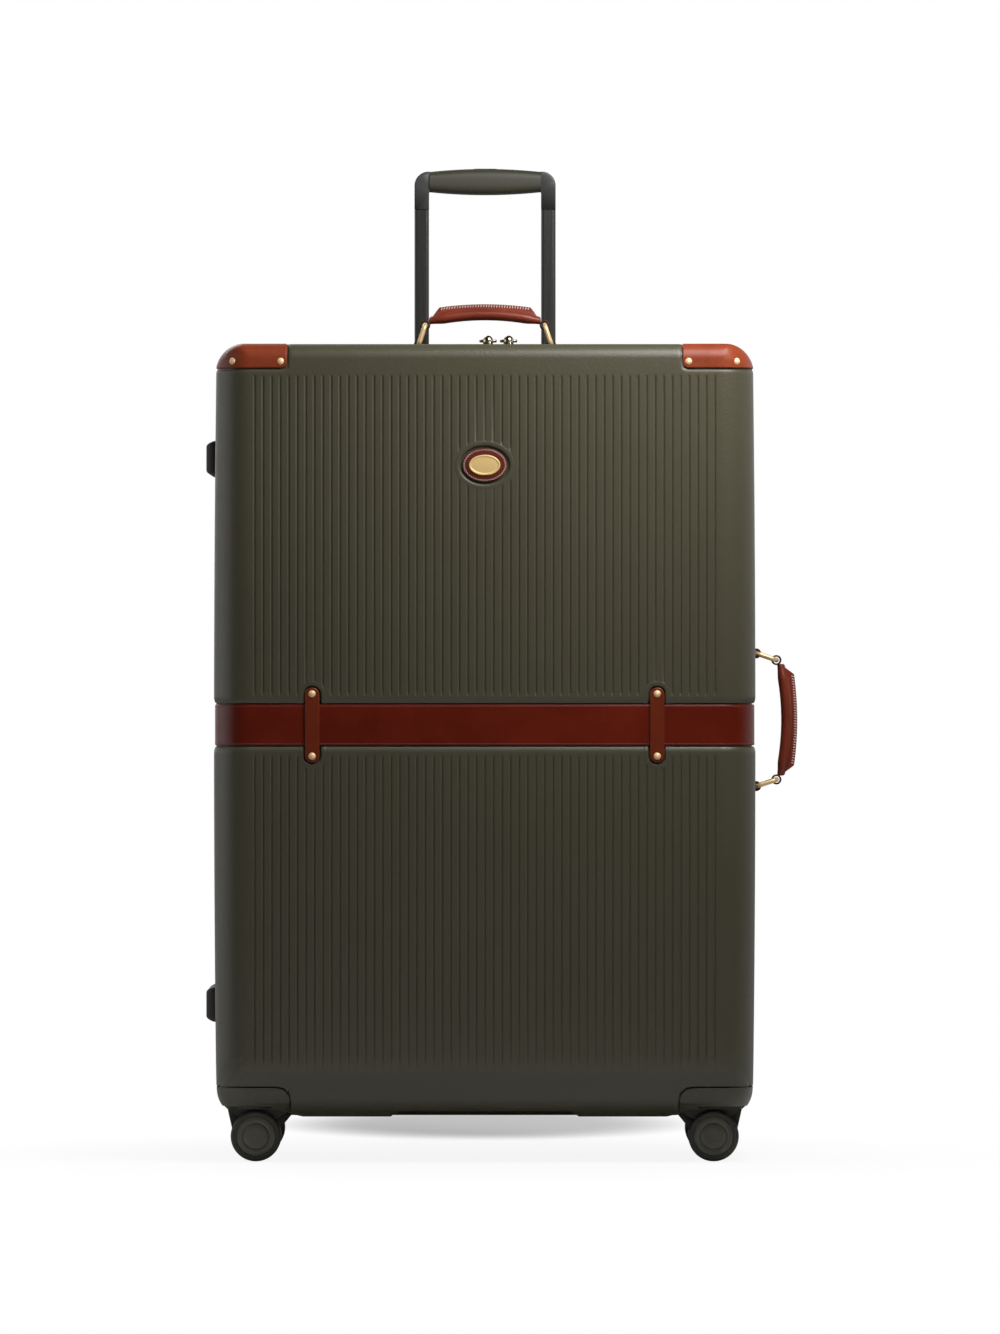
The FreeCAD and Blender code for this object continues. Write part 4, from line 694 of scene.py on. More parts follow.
cap_near, cap_low = CAP_INNER - CAP_MARGIN, CAP_FOOT - CAP_MARGIN
cap_x = lines(cap_near, FACE_X, 14, (cap_near, CAP_INNER + CAP_FINE_REACH, 20))
cap_x = np.concatenate([-cap_x[::-1], cap_x])
cap_z = lines(cap_low, FACE_HIGH, 6, (cap_low, CAP_FOOT + CAP_FINE_REACH, 20))
cap_edge = Round(cap_x, cap_z, fan=18)
cap_turns = np.radians(np.linspace(0, 90, 16))
for half, word, body in HALVES:
    skirt = np.concatenate([
        cap_edge.rolled(cap_turns, 0.0, half), cap_edge.wall(CAP_SHARES, CAP_LEVELS, 0.0, half)])
    across, up = np.meshgrid(cap_x, cap_z)
    face = np.stack([across, 0 * across + half * FACE, up], axis=-1)
    skirt += outward(skirt, half) * cap_height(skirt)[..., None]
    face[..., 1] += half * cap_height(face)
    points, faces = tray(face, skirt, half)
    kept = (cap_distance(points)[faces] > CAP_KEPT).all(axis=1)
    kept &= np.ptp(points[faces][..., 0], axis=1) < CAP_INNER
    make_piece(
        f"{word}_corner_leather", (points, faces[kept]), trim_leather, body, [f"{word}_corner_caps"],
        crease=60)

# Straps: a length of smooth, dark, polished leather on each half, laid in the shell's channel from rim to
# rim and sewn along both edges.

STRAP_HALF, STRAP_PROUD, STRAP_UNDER, STRAP_EDGE = 19.3, 1.0, 2.6, 1.2
STRAP_DROP, STRAP_FLAT, FURROW_HALF, FURROW_DEPTH = 1.1, 1.4, 0.7, 0.15
STITCH_LINE, STITCH_PITCH, STITCH_LENGTH, STITCH_SUNK, THREAD = 17.4, 3.3, 2.3, 0.12, 0.3
MOTTLE = 0.8
strap_leather = leather("strap_leather", colour(90, 19, 3), colour(108, 28, 6), 0.36, 0.7, 1500.0)


def plain_finish(name, tint, roughness, metallic=0.0):
    """An even finish for thread and small fittings, with a faint mottle."""
    finish = Finish(name)
    shade = finish.noise(400.0, detail=2.0)
    dark = tuple(MOTTLE * part for part in tint[:3]) + (1.0,)
    return finish.give({
        "Base Color": finish.mix(shade, dark, tint), "Roughness": roughness, "Metallic": metallic})


strap_thread = plain_finish("strap_thread", colour(128, 58, 42), 0.6)


def way_round(rim, wall_steps, roll_steps, face_steps):
    """The way round a half from its left rim over the face to its right rim, as three rows of numbers: place
    on the face, turn over the rolled edge, and distance along the wall."""
    wall = np.linspace(FACE - rim - SIDE_ROLL, 0, wall_steps)
    turn = np.linspace(RIGHT_ANGLE, 0, roll_steps)[1:]
    flat = np.linspace(-FACE_X, FACE_X, face_steps)[1:-1]
    base = np.concatenate([0 * wall - FACE_X, 0 * turn - FACE_X, flat, 0 * turn + FACE_X, 0 * wall + FACE_X])
    bend = np.concatenate([0 * wall + RIGHT_ANGLE, turn, 0 * flat, turn[::-1], 0 * wall + RIGHT_ANGLE])
    run = np.concatenate([wall, 0 * turn, 0 * flat, 0 * turn, wall[::-1]])
    return np.array([base, bend, run])


def laid(way, z, inset, half):
    """Points on that way at a height, set in from the shell's skin."""
    base, bend, run = way
    x = base + np.sign(base) * (half_width(z) - inset - FACE_X) * np.sin(bend)
    depth = inset * np.cos(bend) + SIDE_ROLL * (1 - np.cos(bend)) + run
    return np.stack(np.broadcast_arrays(x, half * (FACE - depth), z), axis=-1)


def capped(points):
    """A grid whose columns go round a section, closed at both ends by its middle points."""
    ends = points[[0, -1]].mean(axis=1, keepdims=True) + 0 * points[[0, -1]]
    return np.concatenate([ends[:1], points, ends[1:]])


def unit(vectors):
    """Vectors with the same directions and a length of 1."""
    return vectors / np.linalg.norm(vectors, axis=-1, keepdims=True)


def threads(places, along, out, length, radius):
    """Short round-ended lengths of thread: six-sided spindles along a direction at each place."""
    stations = length * np.array([-0.5, -0.4, -0.15, 0.15, 0.4, 0.5])
    girth = radius * np.array([0, 0.75, 1, 1, 0.75, 0])
    angle = np.arange(6) * math.pi / 3
    along, out = unit(along), unit(out)
    side = np.cross(out, along)
    spokes = out[:, None] * np.cos(angle)[:, None] + side[:, None] * np.sin(angle)[:, None]
    points = (places[:, None, None] + along[:, None, None] * stations[:, None, None]
              + spokes[:, None] * girth[:, None, None])
    faces = grid_faces(len(stations), len(angle), closed=True)[:, ::-1]
    count = len(stations) * len(angle)
    return points.reshape(-1, 3), (faces + count * np.arange(len(places))[:, None, None]).reshape(-1, 4)


def spaced(path, pitch):
    """Places at an even pitch along a path of points, and the direction of the path at each."""
    reach = np.concatenate([[0], np.cumsum(np.linalg.norm(np.diff(path, axis=0), axis=1))])
    stops = np.arange(pitch / 2, reach[-1], pitch)

    def at(ways):
        """Points of the path after the given ways along it."""
        return np.stack([np.interp(ways, reach, path[:, axis]) for axis in range(3)], axis=-1)

    return at(stops), at(stops + pitch / 4) - at(stops - pitch / 4)


strap_way = way_round(RIM, wall_steps=8, roll_steps=14, face_steps=40)
edge_steps = STRAP_HALF - np.array([1.0, 0.6, 0.2, 0.0])
flat_steps = np.linspace(STRAP_FLAT - STRAP_HALF, STRAP_HALF - STRAP_FLAT, 25)
across = np.concatenate([-edge_steps[::-1], flat_steps, edge_steps])
furrow = np.clip(1 - ((np.abs(across) - STITCH_LINE) / FURROW_HALF) ** 2, 0, 1)
edge_drop = STRAP_DROP * (1 - edge_rise(STRAP_HALF - np.abs(across), STRAP_EDGE))
crown = STRAP_PROUD + edge_drop + FURROW_DEPTH * furrow
section_z = STRAP_LEVEL + np.concatenate([across, across[::-1]])
section_inset = np.concatenate([crown, 0 * across + STRAP_UNDER])
for half, word, body in HALVES:
    strap = capped(laid(strap_way[:, :, None], section_z, section_inset, half))
    make_piece(f"{word}_strap_leather", as_patch(strap, closed=True, flip=half == FRONT), strap_leather, body,
               [f"{word}_strap"], crease=60)
    rows = []
    for end in (LOWER, UPPER):
        level = np.array(STRAP_LEVEL + end * STITCH_LINE)
        places, along = spaced(laid(strap_way, level, STRAP_PROUD + STITCH_SUNK, half), STITCH_PITCH)
        rows.append(threads(places, along, np.cross(along, [0, 0, half]), STITCH_LENGTH, THREAD))
    make_piece(f"{word}_strap_stitches", joined(*rows), strap_thread, body)

# Strap keepers: round-ended strips of leather over the strap, held by a brass rivet at each end. Corner caps
# are held by two rivets each.

END_STEPS = 13


def stood(rings, heights, origin, across, up, out):
    """A pad from rings of an outline at heights along a direction, about an origin. The last ring has no
    width and also closes the foot."""
    rings, heights = [rings[-1]] + rings, [heights[0]] + heights
    origin, across, up, out = np.array([origin, across, up, out])
    grid = np.stack([
        origin + ring[:, :1] * across + ring[:, 1:] * up + height * out
        for ring, height in zip(rings, heights)])
    return as_patch(grid, closed=True)


def stadium(inset):
    """The round-ended outline of a keeper, shrunk by an inset."""
    angle = np.concatenate([np.linspace(0, math.pi, END_STEPS), np.linspace(math.pi, FULL_TURN, END_STEPS)])
    centre = np.repeat([1, -1], END_STEPS) * (KEEPER_LENGTH / 2 - KEEPER_HALF)
    radius = KEEPER_HALF - inset
    return np.stack([radius * np.cos(angle), centre + radius * np.sin(angle)], axis=-1)


keeper_leather = leather("keeper_leather", colour(96, 32, 12), colour(116, 44, 20), 0.4, 0.4)


def brassy(name, dark, light, roughness, metallic):
    """Brass with fine scuffs; less metallic stands for a brushed and lacquered face that scatters its
    light."""
    finish = Finish(name)
    scuff = finish.noise(700.0, detail=4.0, roughness=0.6)
    return finish.give({
        "Base Color": finish.mix(scuff, dark, light),
        "Metallic": metallic,
        "Roughness": scuff * 0.14 + roughness,
    })


brass = brassy("polished_brass", colour(234, 194, 136), colour(250, 220, 170), 0.26, 0.4)
rivet_brass = brassy("rivet_brass", colour(240, 196, 142), colour(252, 220, 172), 0.3, 0.15)
keeper_insets = [0, 0, 0.1, 0.35, 0.8, 1.4, 2.0, 2.4, 3.5, 5.5, KEEPER_HALF]
keeper_heights = [-2.0, 0.35, 0.75, 1.0, 1.15, 1.2, 1.2, 1.2, 1.2, 1.2, 1.2]
keeper_rings = [stadium(inset) for inset in keeper_insets]
for half, word, body in HALVES:
    strips = []
    for hand in (LEFT, RIGHT):
        origin = (-half * hand * KEEPER_X, half * FACE, STRAP_LEVEL)
        strips.append(stood(keeper_rings, keeper_heights, origin, (-half, 0, 0), (0, 0, 1), (0, half, 0)))
    make_piece(f"{word}_keeper_leather", joined(*strips), keeper_leather, body, [f"{word}_strap_keepers"],
               crease=60)
    smoothed(f"{word}_rivets", rivet_brass, body, crease=50)

# Badge: an oval of leather sewn over its edge with pale thread, glued in its seat, with a bare brass plate
# pinned on it. The plate has a raised rim and a plain middle.

plate_low, plate_high = node_box("badge_plate")
PLATE_HALF = (plate_high - plate_low)[[0, 2]] / 2
WHIP_COUNT, WHIP_REACH, WHIP_THREAD, WHIP_SLANT = 46, 2.3, 0.3, 0.1
WHIP_EDGE, WHIP_IN_HEIGHT, WHIP_OUT_HEIGHT = 0.7, 0.45, 0.35


def oval_pad(half_sizes, insets, heights):
    """A low oval pad on the front face at the badge's level."""
    rings = [oval(half_sizes, inset) for inset in insets]
    return stood(rings, heights, (0, -FACE, BADGE_LEVEL), (1, 0, 0), (0, 0, 1), (0, -1, 0))


def on_badge(flat, height):
    """Points in X and Z about the badge's middle, put at a height over the front face."""
    return np.stack([flat[:, 0], 0 * flat[:, 0] - FACE - height, BADGE_LEVEL + flat[:, 1]], axis=-1)


badge_leather = leather("badge_leather", colour(82, 30, 19), colour(98, 40, 27), 0.45, 0.3)
badge_metal = brassy("badge_metal", colour(232, 196, 128), colour(240, 206, 142), 0.42, 0.35)
badge_insets = [0, 0, 0.15, 0.5, 1.0, 1.8, 2.6, 3.2, 5, 9, BADGE_HALF[1]]
badge_heights = [-2.0, -0.5, -0.1, 0.15, 0.3, 0.36, 0.32, 0.4, 0.42, 0.42, 0.42]
make_piece("badge_leather", oval_pad(BADGE_HALF, badge_insets, badge_heights), badge_leather, "front_half",
           ["badge_patch"], crease=70)
plate_insets = [0, 0, 0.12, 0.35, 0.7, 1.3, 1.6, 1.9, 2.2, 3.0, 5.0, 7.0, PLATE_HALF[1]]
plate_heights = [0.3, 1.0, 1.3, 1.45, 1.5, 1.5, 1.42, 1.22, 1.16, 1.18, 1.26, 1.31, 1.33]
make_piece("badge_brass", oval_pad(PLATE_HALF, plate_insets, plate_heights), badge_metal, "front_half",
           ["badge_plate"], crease=70)
whip_angle = np.arange(WHIP_COUNT) * FULL_TURN / WHIP_COUNT
whip_from = on_badge(oval(BADGE_HALF, WHIP_REACH, whip_angle), WHIP_IN_HEIGHT)
whip_to = on_badge(oval(BADGE_HALF, WHIP_EDGE, whip_angle + WHIP_SLANT), WHIP_OUT_HEIGHT)
whip = threads(
    (whip_from + whip_to) / 2, whip_to - whip_from, 0 * whip_from + [0, -1, 0], WHIP_REACH, WHIP_THREAD)
badge_thread = plain_finish("badge_thread", colour(236, 204, 192), 0.6)
make_piece("badge_stitches", whip, badge_thread, "front_half")

# Zip: a dark woven tape sewn inside each rim, with a row of brass teeth that stand in the gap between the
# rims. It stops short of the hinge. Two domed sliders on top carry wire pullers.

hinge_low, hinge_high = node_box("hinge_gusset")
TAPE_STEPS = [
    (0.25, 2.3), (3.7, 2.3), (4.7, 3.5), (14.0, 3.6), (14.0, 4.6), (4.7, 4.5), (3.7, 3.4), (0.25, 3.4)]
TOOTH_PITCH, TOOTH_SIZES = 3.0, (1.9, 3.2, 1.7)
TOOTH_NEAR, TOOTH_INSET = 0.25, 0.7
HINGE_MARGIN = 1.5
CLOTH_ROUGHNESS, CLOTH_SHEEN = 0.85, 0.15


def woven(name, dark, light, threads_per_metre, height):
    """Plain woven cloth: two crossed waves of thread, with slubs and faded patches."""
    finish = Finish(name)
    over = (finish.axis("X") + finish.axis("Y")).wave(threads_per_metre)
    under = finish.axis("Z").wave(threads_per_metre)
    slub = finish.noise(300.0, detail=4.0, roughness=0.6, place=finish.stretched(1.0, 1.0, 0.15))
    faded = finish.noise(7.0, detail=4.0)
    return finish.give({
        "Base Color": finish.mix(faded * 0.5 + slub * 0.5, dark, light),
        "Roughness": CLOTH_ROUGHNESS,
        "Sheen Weight": CLOTH_SHEEN,
        "Normal": finish.bump(over * under * 0.5 + slub, height),
    })


zip_cloth = woven("zip_cloth", colour(28, 27, 22), colour(40, 38, 31), 900.0, 0.12)
tooth_brass = plain_finish("tooth_brass", colour(126, 104, 68), 0.45, 1.0)
hinge_ends = (hinge_low[2] - HINGE_MARGIN, hinge_high[2] + HINGE_MARGIN, 2)
outline = Round(lines(-FACE_X, FACE_X, 25), lines(FACE_LOW, FACE_HIGH, 25, hinge_ends), fan=12)
rim_x, rim_z = outline.outer[:, 0], outline.outer[:, 1]
on_hinge = (rim_x < -FACE_X) & (rim_z > hinge_low[2]) & (rim_z < hinge_high[2])
zip_order = (np.flatnonzero(on_hinge)[-1] + 1 + np.arange((~on_hinge).sum())) % len(on_hinge)
zip_path, zip_facing = outline.outer[zip_order], outline.facing[zip_order]


def along_rim(path, facing, y, inset):
    """Points on the outline, set in from it, at a distance from the zip plane."""
    flat = path - facing * inset
    return np.stack([flat[:, 0], 0 * flat[:, 0] + y, flat[:, 1]], axis=-1)


def blocks(places, along, out, sizes):
    """Small bricks: at each place one that is long along a direction, wide along Y and high outwards."""
    corner = np.array([(a, b, c) for a in (-0.5, 0.5) for b in (-0.5, 0.5) for c in (-0.5, 0.5)]) * sizes
    along, out = unit(along), unit(out)
    points = (places[:, None] + along[:, None] * corner[:, :1] + np.array([0, 1, 0]) * corner[:, 1:2]
              + out[:, None] * corner[:, 2:])
    faces = np.array([(0, 1, 3, 2), (4, 6, 7, 5), (0, 4, 5, 1), (2, 3, 7, 6), (0, 2, 6, 4), (1, 5, 7, 3)])
    starts = len(corner) * np.arange(len(places))
    return points.reshape(-1, 3), (faces + starts[:, None, None]).reshape(-1, 4)


zip_length = np.linalg.norm(np.diff(zip_path, axis=0), axis=1).sum()
for half, word, body in HALVES:
    rows = np.stack([along_rim(zip_path, zip_facing, half * y, inset) for y, inset in TAPE_STEPS], axis=1)
    tape = make_piece(f"{word}_zip_cloth", as_patch(capped(rows), closed=True, flip=half == FRONT), zip_cloth,
                      body, [f"{word}_zip_tape"])
    middle = half * (TOOTH_NEAR + TOOTH_SIZES[1] / 2)
    row = along_rim(zip_path, zip_facing, middle, TOOTH_INSET + TOOTH_SIZES[2] / 2)
    places, along = spaced(row, TOOTH_PITCH)
    out = np.cross(along, [0, 1, 0])
    shift = (half == FRONT) * TOOTH_PITCH / 2
    teeth = blocks(places + unit(along) * shift, along, out, TOOTH_SIZES)
    make_piece(f"{word}_zip_teeth", teeth, tooth_brass, body, crease=30)
slider_metal = plain_finish("slider_metal", colour(196, 184, 160), 0.2, 1.0)
for word in ("left", "right"):
    smoothed(f"zip_slider_{word}", slider_metal, f"zip_slider_{word}")
    smoothed(f"zip_puller_{word}", slider_metal, f"zip_puller_{word}", crease=60)

# Hinge gusset: a strip of brown cloth sewn inside both rims along the left side, folded out between them.

GUSSET_HALF, GUSSET_FLAT, GUSSET_FOLD, GUSSET_BULGE, GUSSET_THICK = 14, 5, 4.6, 5.0, 1.1
GUSSET_INSET, GUSSET_SINK, GUSSET_WIDTH, STRAP_MARGIN = 4.1, 1.1, 33.5, 6
gusset_cloth = woven("gusset_cloth", colour(84, 54, 44), colour(112, 76, 64), 700.0, 0.15)
gusset_y = np.concatenate([
    np.linspace(-GUSSET_HALF, -GUSSET_FLAT, 5), np.linspace(-GUSSET_FOLD, GUSSET_FOLD, 17),
    np.linspace(GUSSET_FLAT, GUSSET_HALF, 5)])
fold = np.where(np.abs(gusset_y) < GUSSET_FOLD, np.cos(RIGHT_ANGLE * gusset_y / GUSSET_FOLD) ** 2, 0)
gusset_z = lines(hinge_low[2], hinge_high[2], 30, (strap_foot - STRAP_MARGIN, strap_head + STRAP_MARGIN, 20))
outer_skin = GUSSET_INSET - GUSSET_BULGE * fold
section = np.concatenate([outer_skin, outer_skin[::-1] + GUSSET_THICK])
section_y = np.concatenate([gusset_y, gusset_y[::-1]])
inset = section + GUSSET_SINK * channel(gusset_z)[:, None] * (np.abs(section_y) > GUSSET_FOLD)
strip_x = inset - half_width(gusset_z)[:, None]
strip = np.stack(np.broadcast_arrays(strip_x, section_y, gusset_z[:, None]), axis=-1)
gusset = make_piece("hinge_gusset_cloth", as_patch(capped(strip), closed=True, flip=True), gusset_cloth, None,
                    ["hinge_gusset"], crease=60)
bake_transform(gusset)

# Linings: thin khaki cloth glued inside each tray and carried round the wheel wells, the trolley and the
# lock, with a corded hem along the rim.

LINING_INSET, LINING_RIM, HEM_ROUND, HEM_LIFT, HEM_STEPS = 6.9, 15.0, 1.3, 1, 8
WELL_INNER, WELL_NEAR, WELL_TOP = 165.0, 46.0, 73.0
TUBE_X, TUBE_ROOM, TUBE_FRONT, TUBE_SPAN = 61.0, 12.2, 103.9, (42, 82, 24)
SOFT, CLOTH_ROOM, NOTCH_ROOM, NOTCH_COVER = 4.0, 2, 12, 5
FINE_WIDTH, FINE_STEPS, FINE_EARLY, BEZEL_BELOW, BEZEL_ABOVE = 8, 5, 2, 8, 2
LINING_SHARES = [0.15, 0.3, 0.45, 0.6, 0.8, 1.0]
LINING_LEVELS = [66, 74, 82, 90, 93, 96, 99, 104, 109, 111, 113, 114.5, 116, 117.5, 119, 123, 128, 134,
                 FACE - LINING_RIM]
lining_cloth = woven("lining_cloth", colour(98, 88, 68), colour(124, 112, 90), 650.0, 0.1)


def past(values, edge):
    """Rises from 0, a soft width short of an edge, to 1 at the edge."""
    return smooth(values, edge - SOFT, edge)


def carried_round(points, half):
    """Lifts cloth over what stands in the tray: wells and notch below, and behind tubes, tray and lock."""
    x, y, z = points[..., 0], np.abs(points[..., 1]), points[..., 2]
    well = past(np.abs(x), WELL_INNER) * past(y, WELL_NEAR)
    notch = past(-np.abs(x), -NOTCH_HALF - NOTCH_ROOM) * past(y, NOTCH_NEAR - SOFT)
    z = np.maximum(z, BOTTOM + (WELL_TOP - BOTTOM) * well)
    z = np.maximum(z, BOTTOM + (NOTCH_RISE + NOTCH_COVER) * notch)
    if half == REAR:
        tube = past(-np.abs(np.abs(x) - TUBE_X), -TUBE_ROOM)
        y = np.minimum(y, FACE - (FACE - TUBE_FRONT) * tube)
        bezel = past(-np.abs(x), -bezel_high[0]) * past(y, bezel_low[1])
        lock = past(-x, -lock_high[0] - CLOTH_ROOM) * past(x, lock_low[0] - CLOTH_ROOM)
        lock = lock * past(-y, -lock_high[1] - CLOTH_ROOM)
        z = np.minimum(z, TOP - (TOP - bezel_low[2] + CLOTH_ROOM) * bezel)
        z = np.minimum(z, TOP - (TOP - lock_low[2] + CLOTH_ROOM) * lock)
    return np.stack([x, half * y, z], axis=-1)


fine_starts = (NOTCH_HALF + NOTCH_ROOM - FINE_EARLY, WELL_INNER - SOFT - FINE_EARLY, lock_high[0])
fine_spans = [(start, start + FINE_WIDTH, FINE_STEPS) for start in fine_starts]
lining_x = lines(0, FACE_X, 20, TUBE_SPAN, *fine_spans)
lining_x = np.concatenate([-lining_x[:0:-1], lining_x])
lining_z = lines(FACE_LOW, FACE_HIGH, 30, (bezel_low[2] - BEZEL_BELOW, bezel_low[2] + BEZEL_ABOVE, 4))
lining_edge = Round(lining_x, lining_z, fan=14)
lining_turns = np.radians(np.linspace(0, 90, 12))
for half, word, body in HALVES:
    skirt = np.concatenate([
        lining_edge.rolled(lining_turns, LINING_INSET, half),
        lining_edge.wall(LINING_SHARES, LINING_LEVELS, LINING_INSET, half)])
    across, up = np.meshgrid(lining_x, lining_z)
    face = np.stack([across, 0 * across + half * (FACE - LINING_INSET), up], axis=-1)
    inner_skin = tray(carried_round(face, half), carried_round(skirt, half), -half)
    cloth = make_piece(f"{word}_lining_cloth", inner_skin, lining_cloth, body, [f"{word}_lining"],
                       crease=80)
    side = math.sqrt(sum(polygon.area for polygon in cloth.data.polygons))
    cord = []
    for angle in np.arange(HEM_STEPS) * math.pi / (HEM_STEPS // 2):
        level = half * (LINING_RIM + HEM_ROUND * math.cos(angle))
        hem_inset = LINING_INSET - HEM_LIFT + HEM_ROUND * math.sin(angle)
        cord.append(along_rim(outline.outer, outline.facing, level, hem_inset))
    hem = np.stack(cord, axis=1)
    hem = np.concatenate([hem, hem[:1]])
    make_piece(f"{word}_lining_hem", as_patch(hem, closed=True, flip=half == FRONT), gusset_cloth, body,
               crease=80)

# Packing strap: two lengths of ribbed webbing sewn into the side walls of the rear tray, clipped together by
# a flat plastic buckle.

RIB_HEIGHT, RIB_WAVES, WEB_MARGIN, WEB_SAG, WEB_ROWS, WEB_STATIONS = 0.25, 7, 0.3, 1.2, 20, 30
pack_low, pack_high = node_box("packing_straps")
buckle_end = node_box("packing_buckle")[1][0]
webbing = woven("packing_webbing", colour(46, 44, 36), colour(62, 59, 48), 420.0, 0.3)
dark_plastic = moulded_plastic("dark_plastic", colour(30, 29, 25), colour(38, 37, 32), 0.4)
web_z = np.linspace(pack_low[2], pack_high[2], WEB_ROWS)
ribs = RIB_HEIGHT * np.sin(np.linspace(0, RIB_WAVES * math.pi, WEB_ROWS))
web_y = (pack_low[1] + pack_high[1]) / 2 + ribs
web_half = (pack_high[1] - pack_low[1]) / 2 - WEB_MARGIN
reach = np.linspace(buckle_end, pack_high[0], WEB_STATIONS)
sag = WEB_SAG * np.sin(np.linspace(0, math.pi, WEB_STATIONS))
straps = []
for hand in (LEFT, RIGHT):
    y = np.concatenate([web_y - web_half, web_y[::-1] + web_half]) - sag[:, None]
    z = np.concatenate([web_z, web_z[::-1]])
    rows = np.stack(np.broadcast_arrays(hand * reach[:, None], y, z), axis=-1)
    straps.append(as_patch(capped(rows), closed=True, flip=hand == RIGHT))
web = make_piece("packing_webbing", joined(*straps), webbing, "case", ["packing_straps"],
                 crease=60)
smoothed("packing_buckle", dark_plastic, "case")

# Side feet: four blocks of hard dark rubber on the hinge side, two on each half, which the case lies on.
# Their edges are well rounded.

FOOT_NEAR, FOOT_DEPTH, FOOT_LENGTH, FOOT_ROUND = 22.0, 40.0, 34.0, 5.0
foot_low, foot_high = node_box("front_side_feet")
FOOT_LEVELS = (foot_low[2] + FOOT_LENGTH / 2, foot_high[2] - FOOT_LENGTH / 2)
foot_rubber = moulded_plastic("foot_rubber", colour(26, 24, 20), colour(34, 32, 27), 0.55)


def rounded_rectangle(width, height, radius, inset, steps=8):
    """The outline of a rectangle with rounded corners, shrunk by an inset, from its middle."""
    quarter = np.linspace(0, RIGHT_ANGLE, steps)
    angle = np.concatenate([quarter + turn * RIGHT_ANGLE for turn in range(4)])
    half_size = np.array([width, height]) / 2
    across = np.repeat([1, -1, -1, 1], steps) * (width / 2 - radius)
    up = np.repeat([1, 1, -1, -1], steps) * (height / 2 - radius)
    arc = max(radius - inset, 0.0)
    tight = np.clip((half_size - inset) / (half_size - radius), 0, 1)
    return np.stack([across * tight[0] + arc * np.cos(angle), up * tight[1] + arc * np.sin(angle)], axis=-1)


foot_insets = [0, 0.2, 0.9, 2.0, 3.4, 4.3, 5.4, 7.0, 10, 17]
foot_heights = [-1.5, 1.5, 3.6, 5.8, 7.6, 8.4, 8.85, 9.0, 9.0, 9.0]
foot_rings = [rounded_rectangle(FOOT_DEPTH, FOOT_LENGTH, FOOT_ROUND, inset) for inset in foot_insets]
for half, word, body in HALVES:
    feet = []
    for level in FOOT_LEVELS:
        origin = (-HALF_WIDTH, half * (FOOT_NEAR + FOOT_DEPTH / 2), level)
        feet.append(stood(foot_rings, foot_heights, origin, (0, -1, 0), (0, 0, 1), (-1, 0, 0)))
    make_piece(f"{word}_side_feet_rubber", joined(*feet), foot_rubber, body, [f"{word}_side_feet"],
               crease=60)

# Casters: each bottom corner is a moulded plastic housing let into the shell, with a swivel fork under it and
# a pair of plastic hubs with hard rubber tyres on one axle.

housing_plastic = moulded_plastic("housing_plastic", colour(64, 61, 45), colour(72, 69, 52), 0.45)
fork_plastic = moulded_plastic("fork_plastic", colour(44, 42, 34), colour(52, 50, 41), 0.45)
hub_plastic = moulded_plastic("hub_plastic", colour(116, 114, 99), colour(126, 124, 108), 0.42)
tyre_rubber = moulded_plastic("tyre_rubber", colour(74, 72, 65), colour(84, 82, 74), 0.6, 500.0, 0.05)
HUB_PROFILE = np.array([
    (0.0, 4.1), (17.6, 4.1), (18.8, 4.6), (18.8, 13.6), (18.6, 14.3), (18.1, 14.6), (13.2, 14.6),
    (12.7, 14.5), (12.55, 13.6), (12.15, 13.6), (12.0, 14.8), (11.6, 15.05), (6.0, 15.05), (0.0, 15.05)])
spin = full_circle(64)


def turned(profile, centre, side):
    """A profile of radius and offset along the axle, turned about the axle at a centre."""
    radius, offset = profile[:, :1], profile[:, 1:]
    wheel = np.broadcast_arrays(radius * np.cos(spin), side * offset, radius * np.sin(spin))
    return as_patch(centre + np.stack(wheel, axis=-1), closed=True, flip=side == REAR)


for half, word, body in HALVES:
    smoothed(f"{word}_caster_housings", housing_plastic, body, crease=28)
    for hand in ("left", "right"):
        corner = f"{word}_{hand}"
        wheels = f"{corner}_wheels"
        middle = np.mean(node_box(f"{corner}_caster_hubs"), axis=0)
        smoothed(f"{corner}_caster_fork", fork_plastic, f"{corner}_caster")
        hubs = joined(*[turned(HUB_PROFILE, middle, side) for side in (FRONT, REAR)])
        make_piece(f"{corner}_caster_discs", hubs, hub_plastic, wheels, [f"{corner}_caster_hubs"])
        smoothed(f"{corner}_caster_tyres", tyre_rubber, wheels)

# Trolley: three pairs of aluminium tubes that slide in one another, anodised dark grey, a plastic bezel let
# into the top, and a swelling grip of soft olive plastic between two elbows, with a push button on top.

GRIP_HALF, GRIP_MID, GRIP_END, GRIP_DEPTH, GRIP_SQUARENESS = 53.5, 12.6, 9.75, 12.0, 3.2
GRIP_Y, GRIP_Z, GRIP_STEPS = 118.0, 934.0, 41
BUTTON_LENGTH, BUTTON_WIDTH, BUTTON_ROUND = 23.0, 9.0, 4.0
TUBE_METALLIC = 0.6


def anodised(name, dark, light):
    """Drawn and anodised aluminium: fine streaks along the tube over an even dark grey."""
    finish = Finish(name)
    streak = finish.noise(900.0, detail=3.0, roughness=0.6, place=finish.stretched(1.0, 1.0, 0.02))
    return finish.give({
        "Base Color": finish.mix(streak, dark, light),
        "Metallic": TUBE_METALLIC,
        "Roughness": streak * 0.12 + 0.22,
        "Normal": finish.bump(streak, distance=0.01),
    })


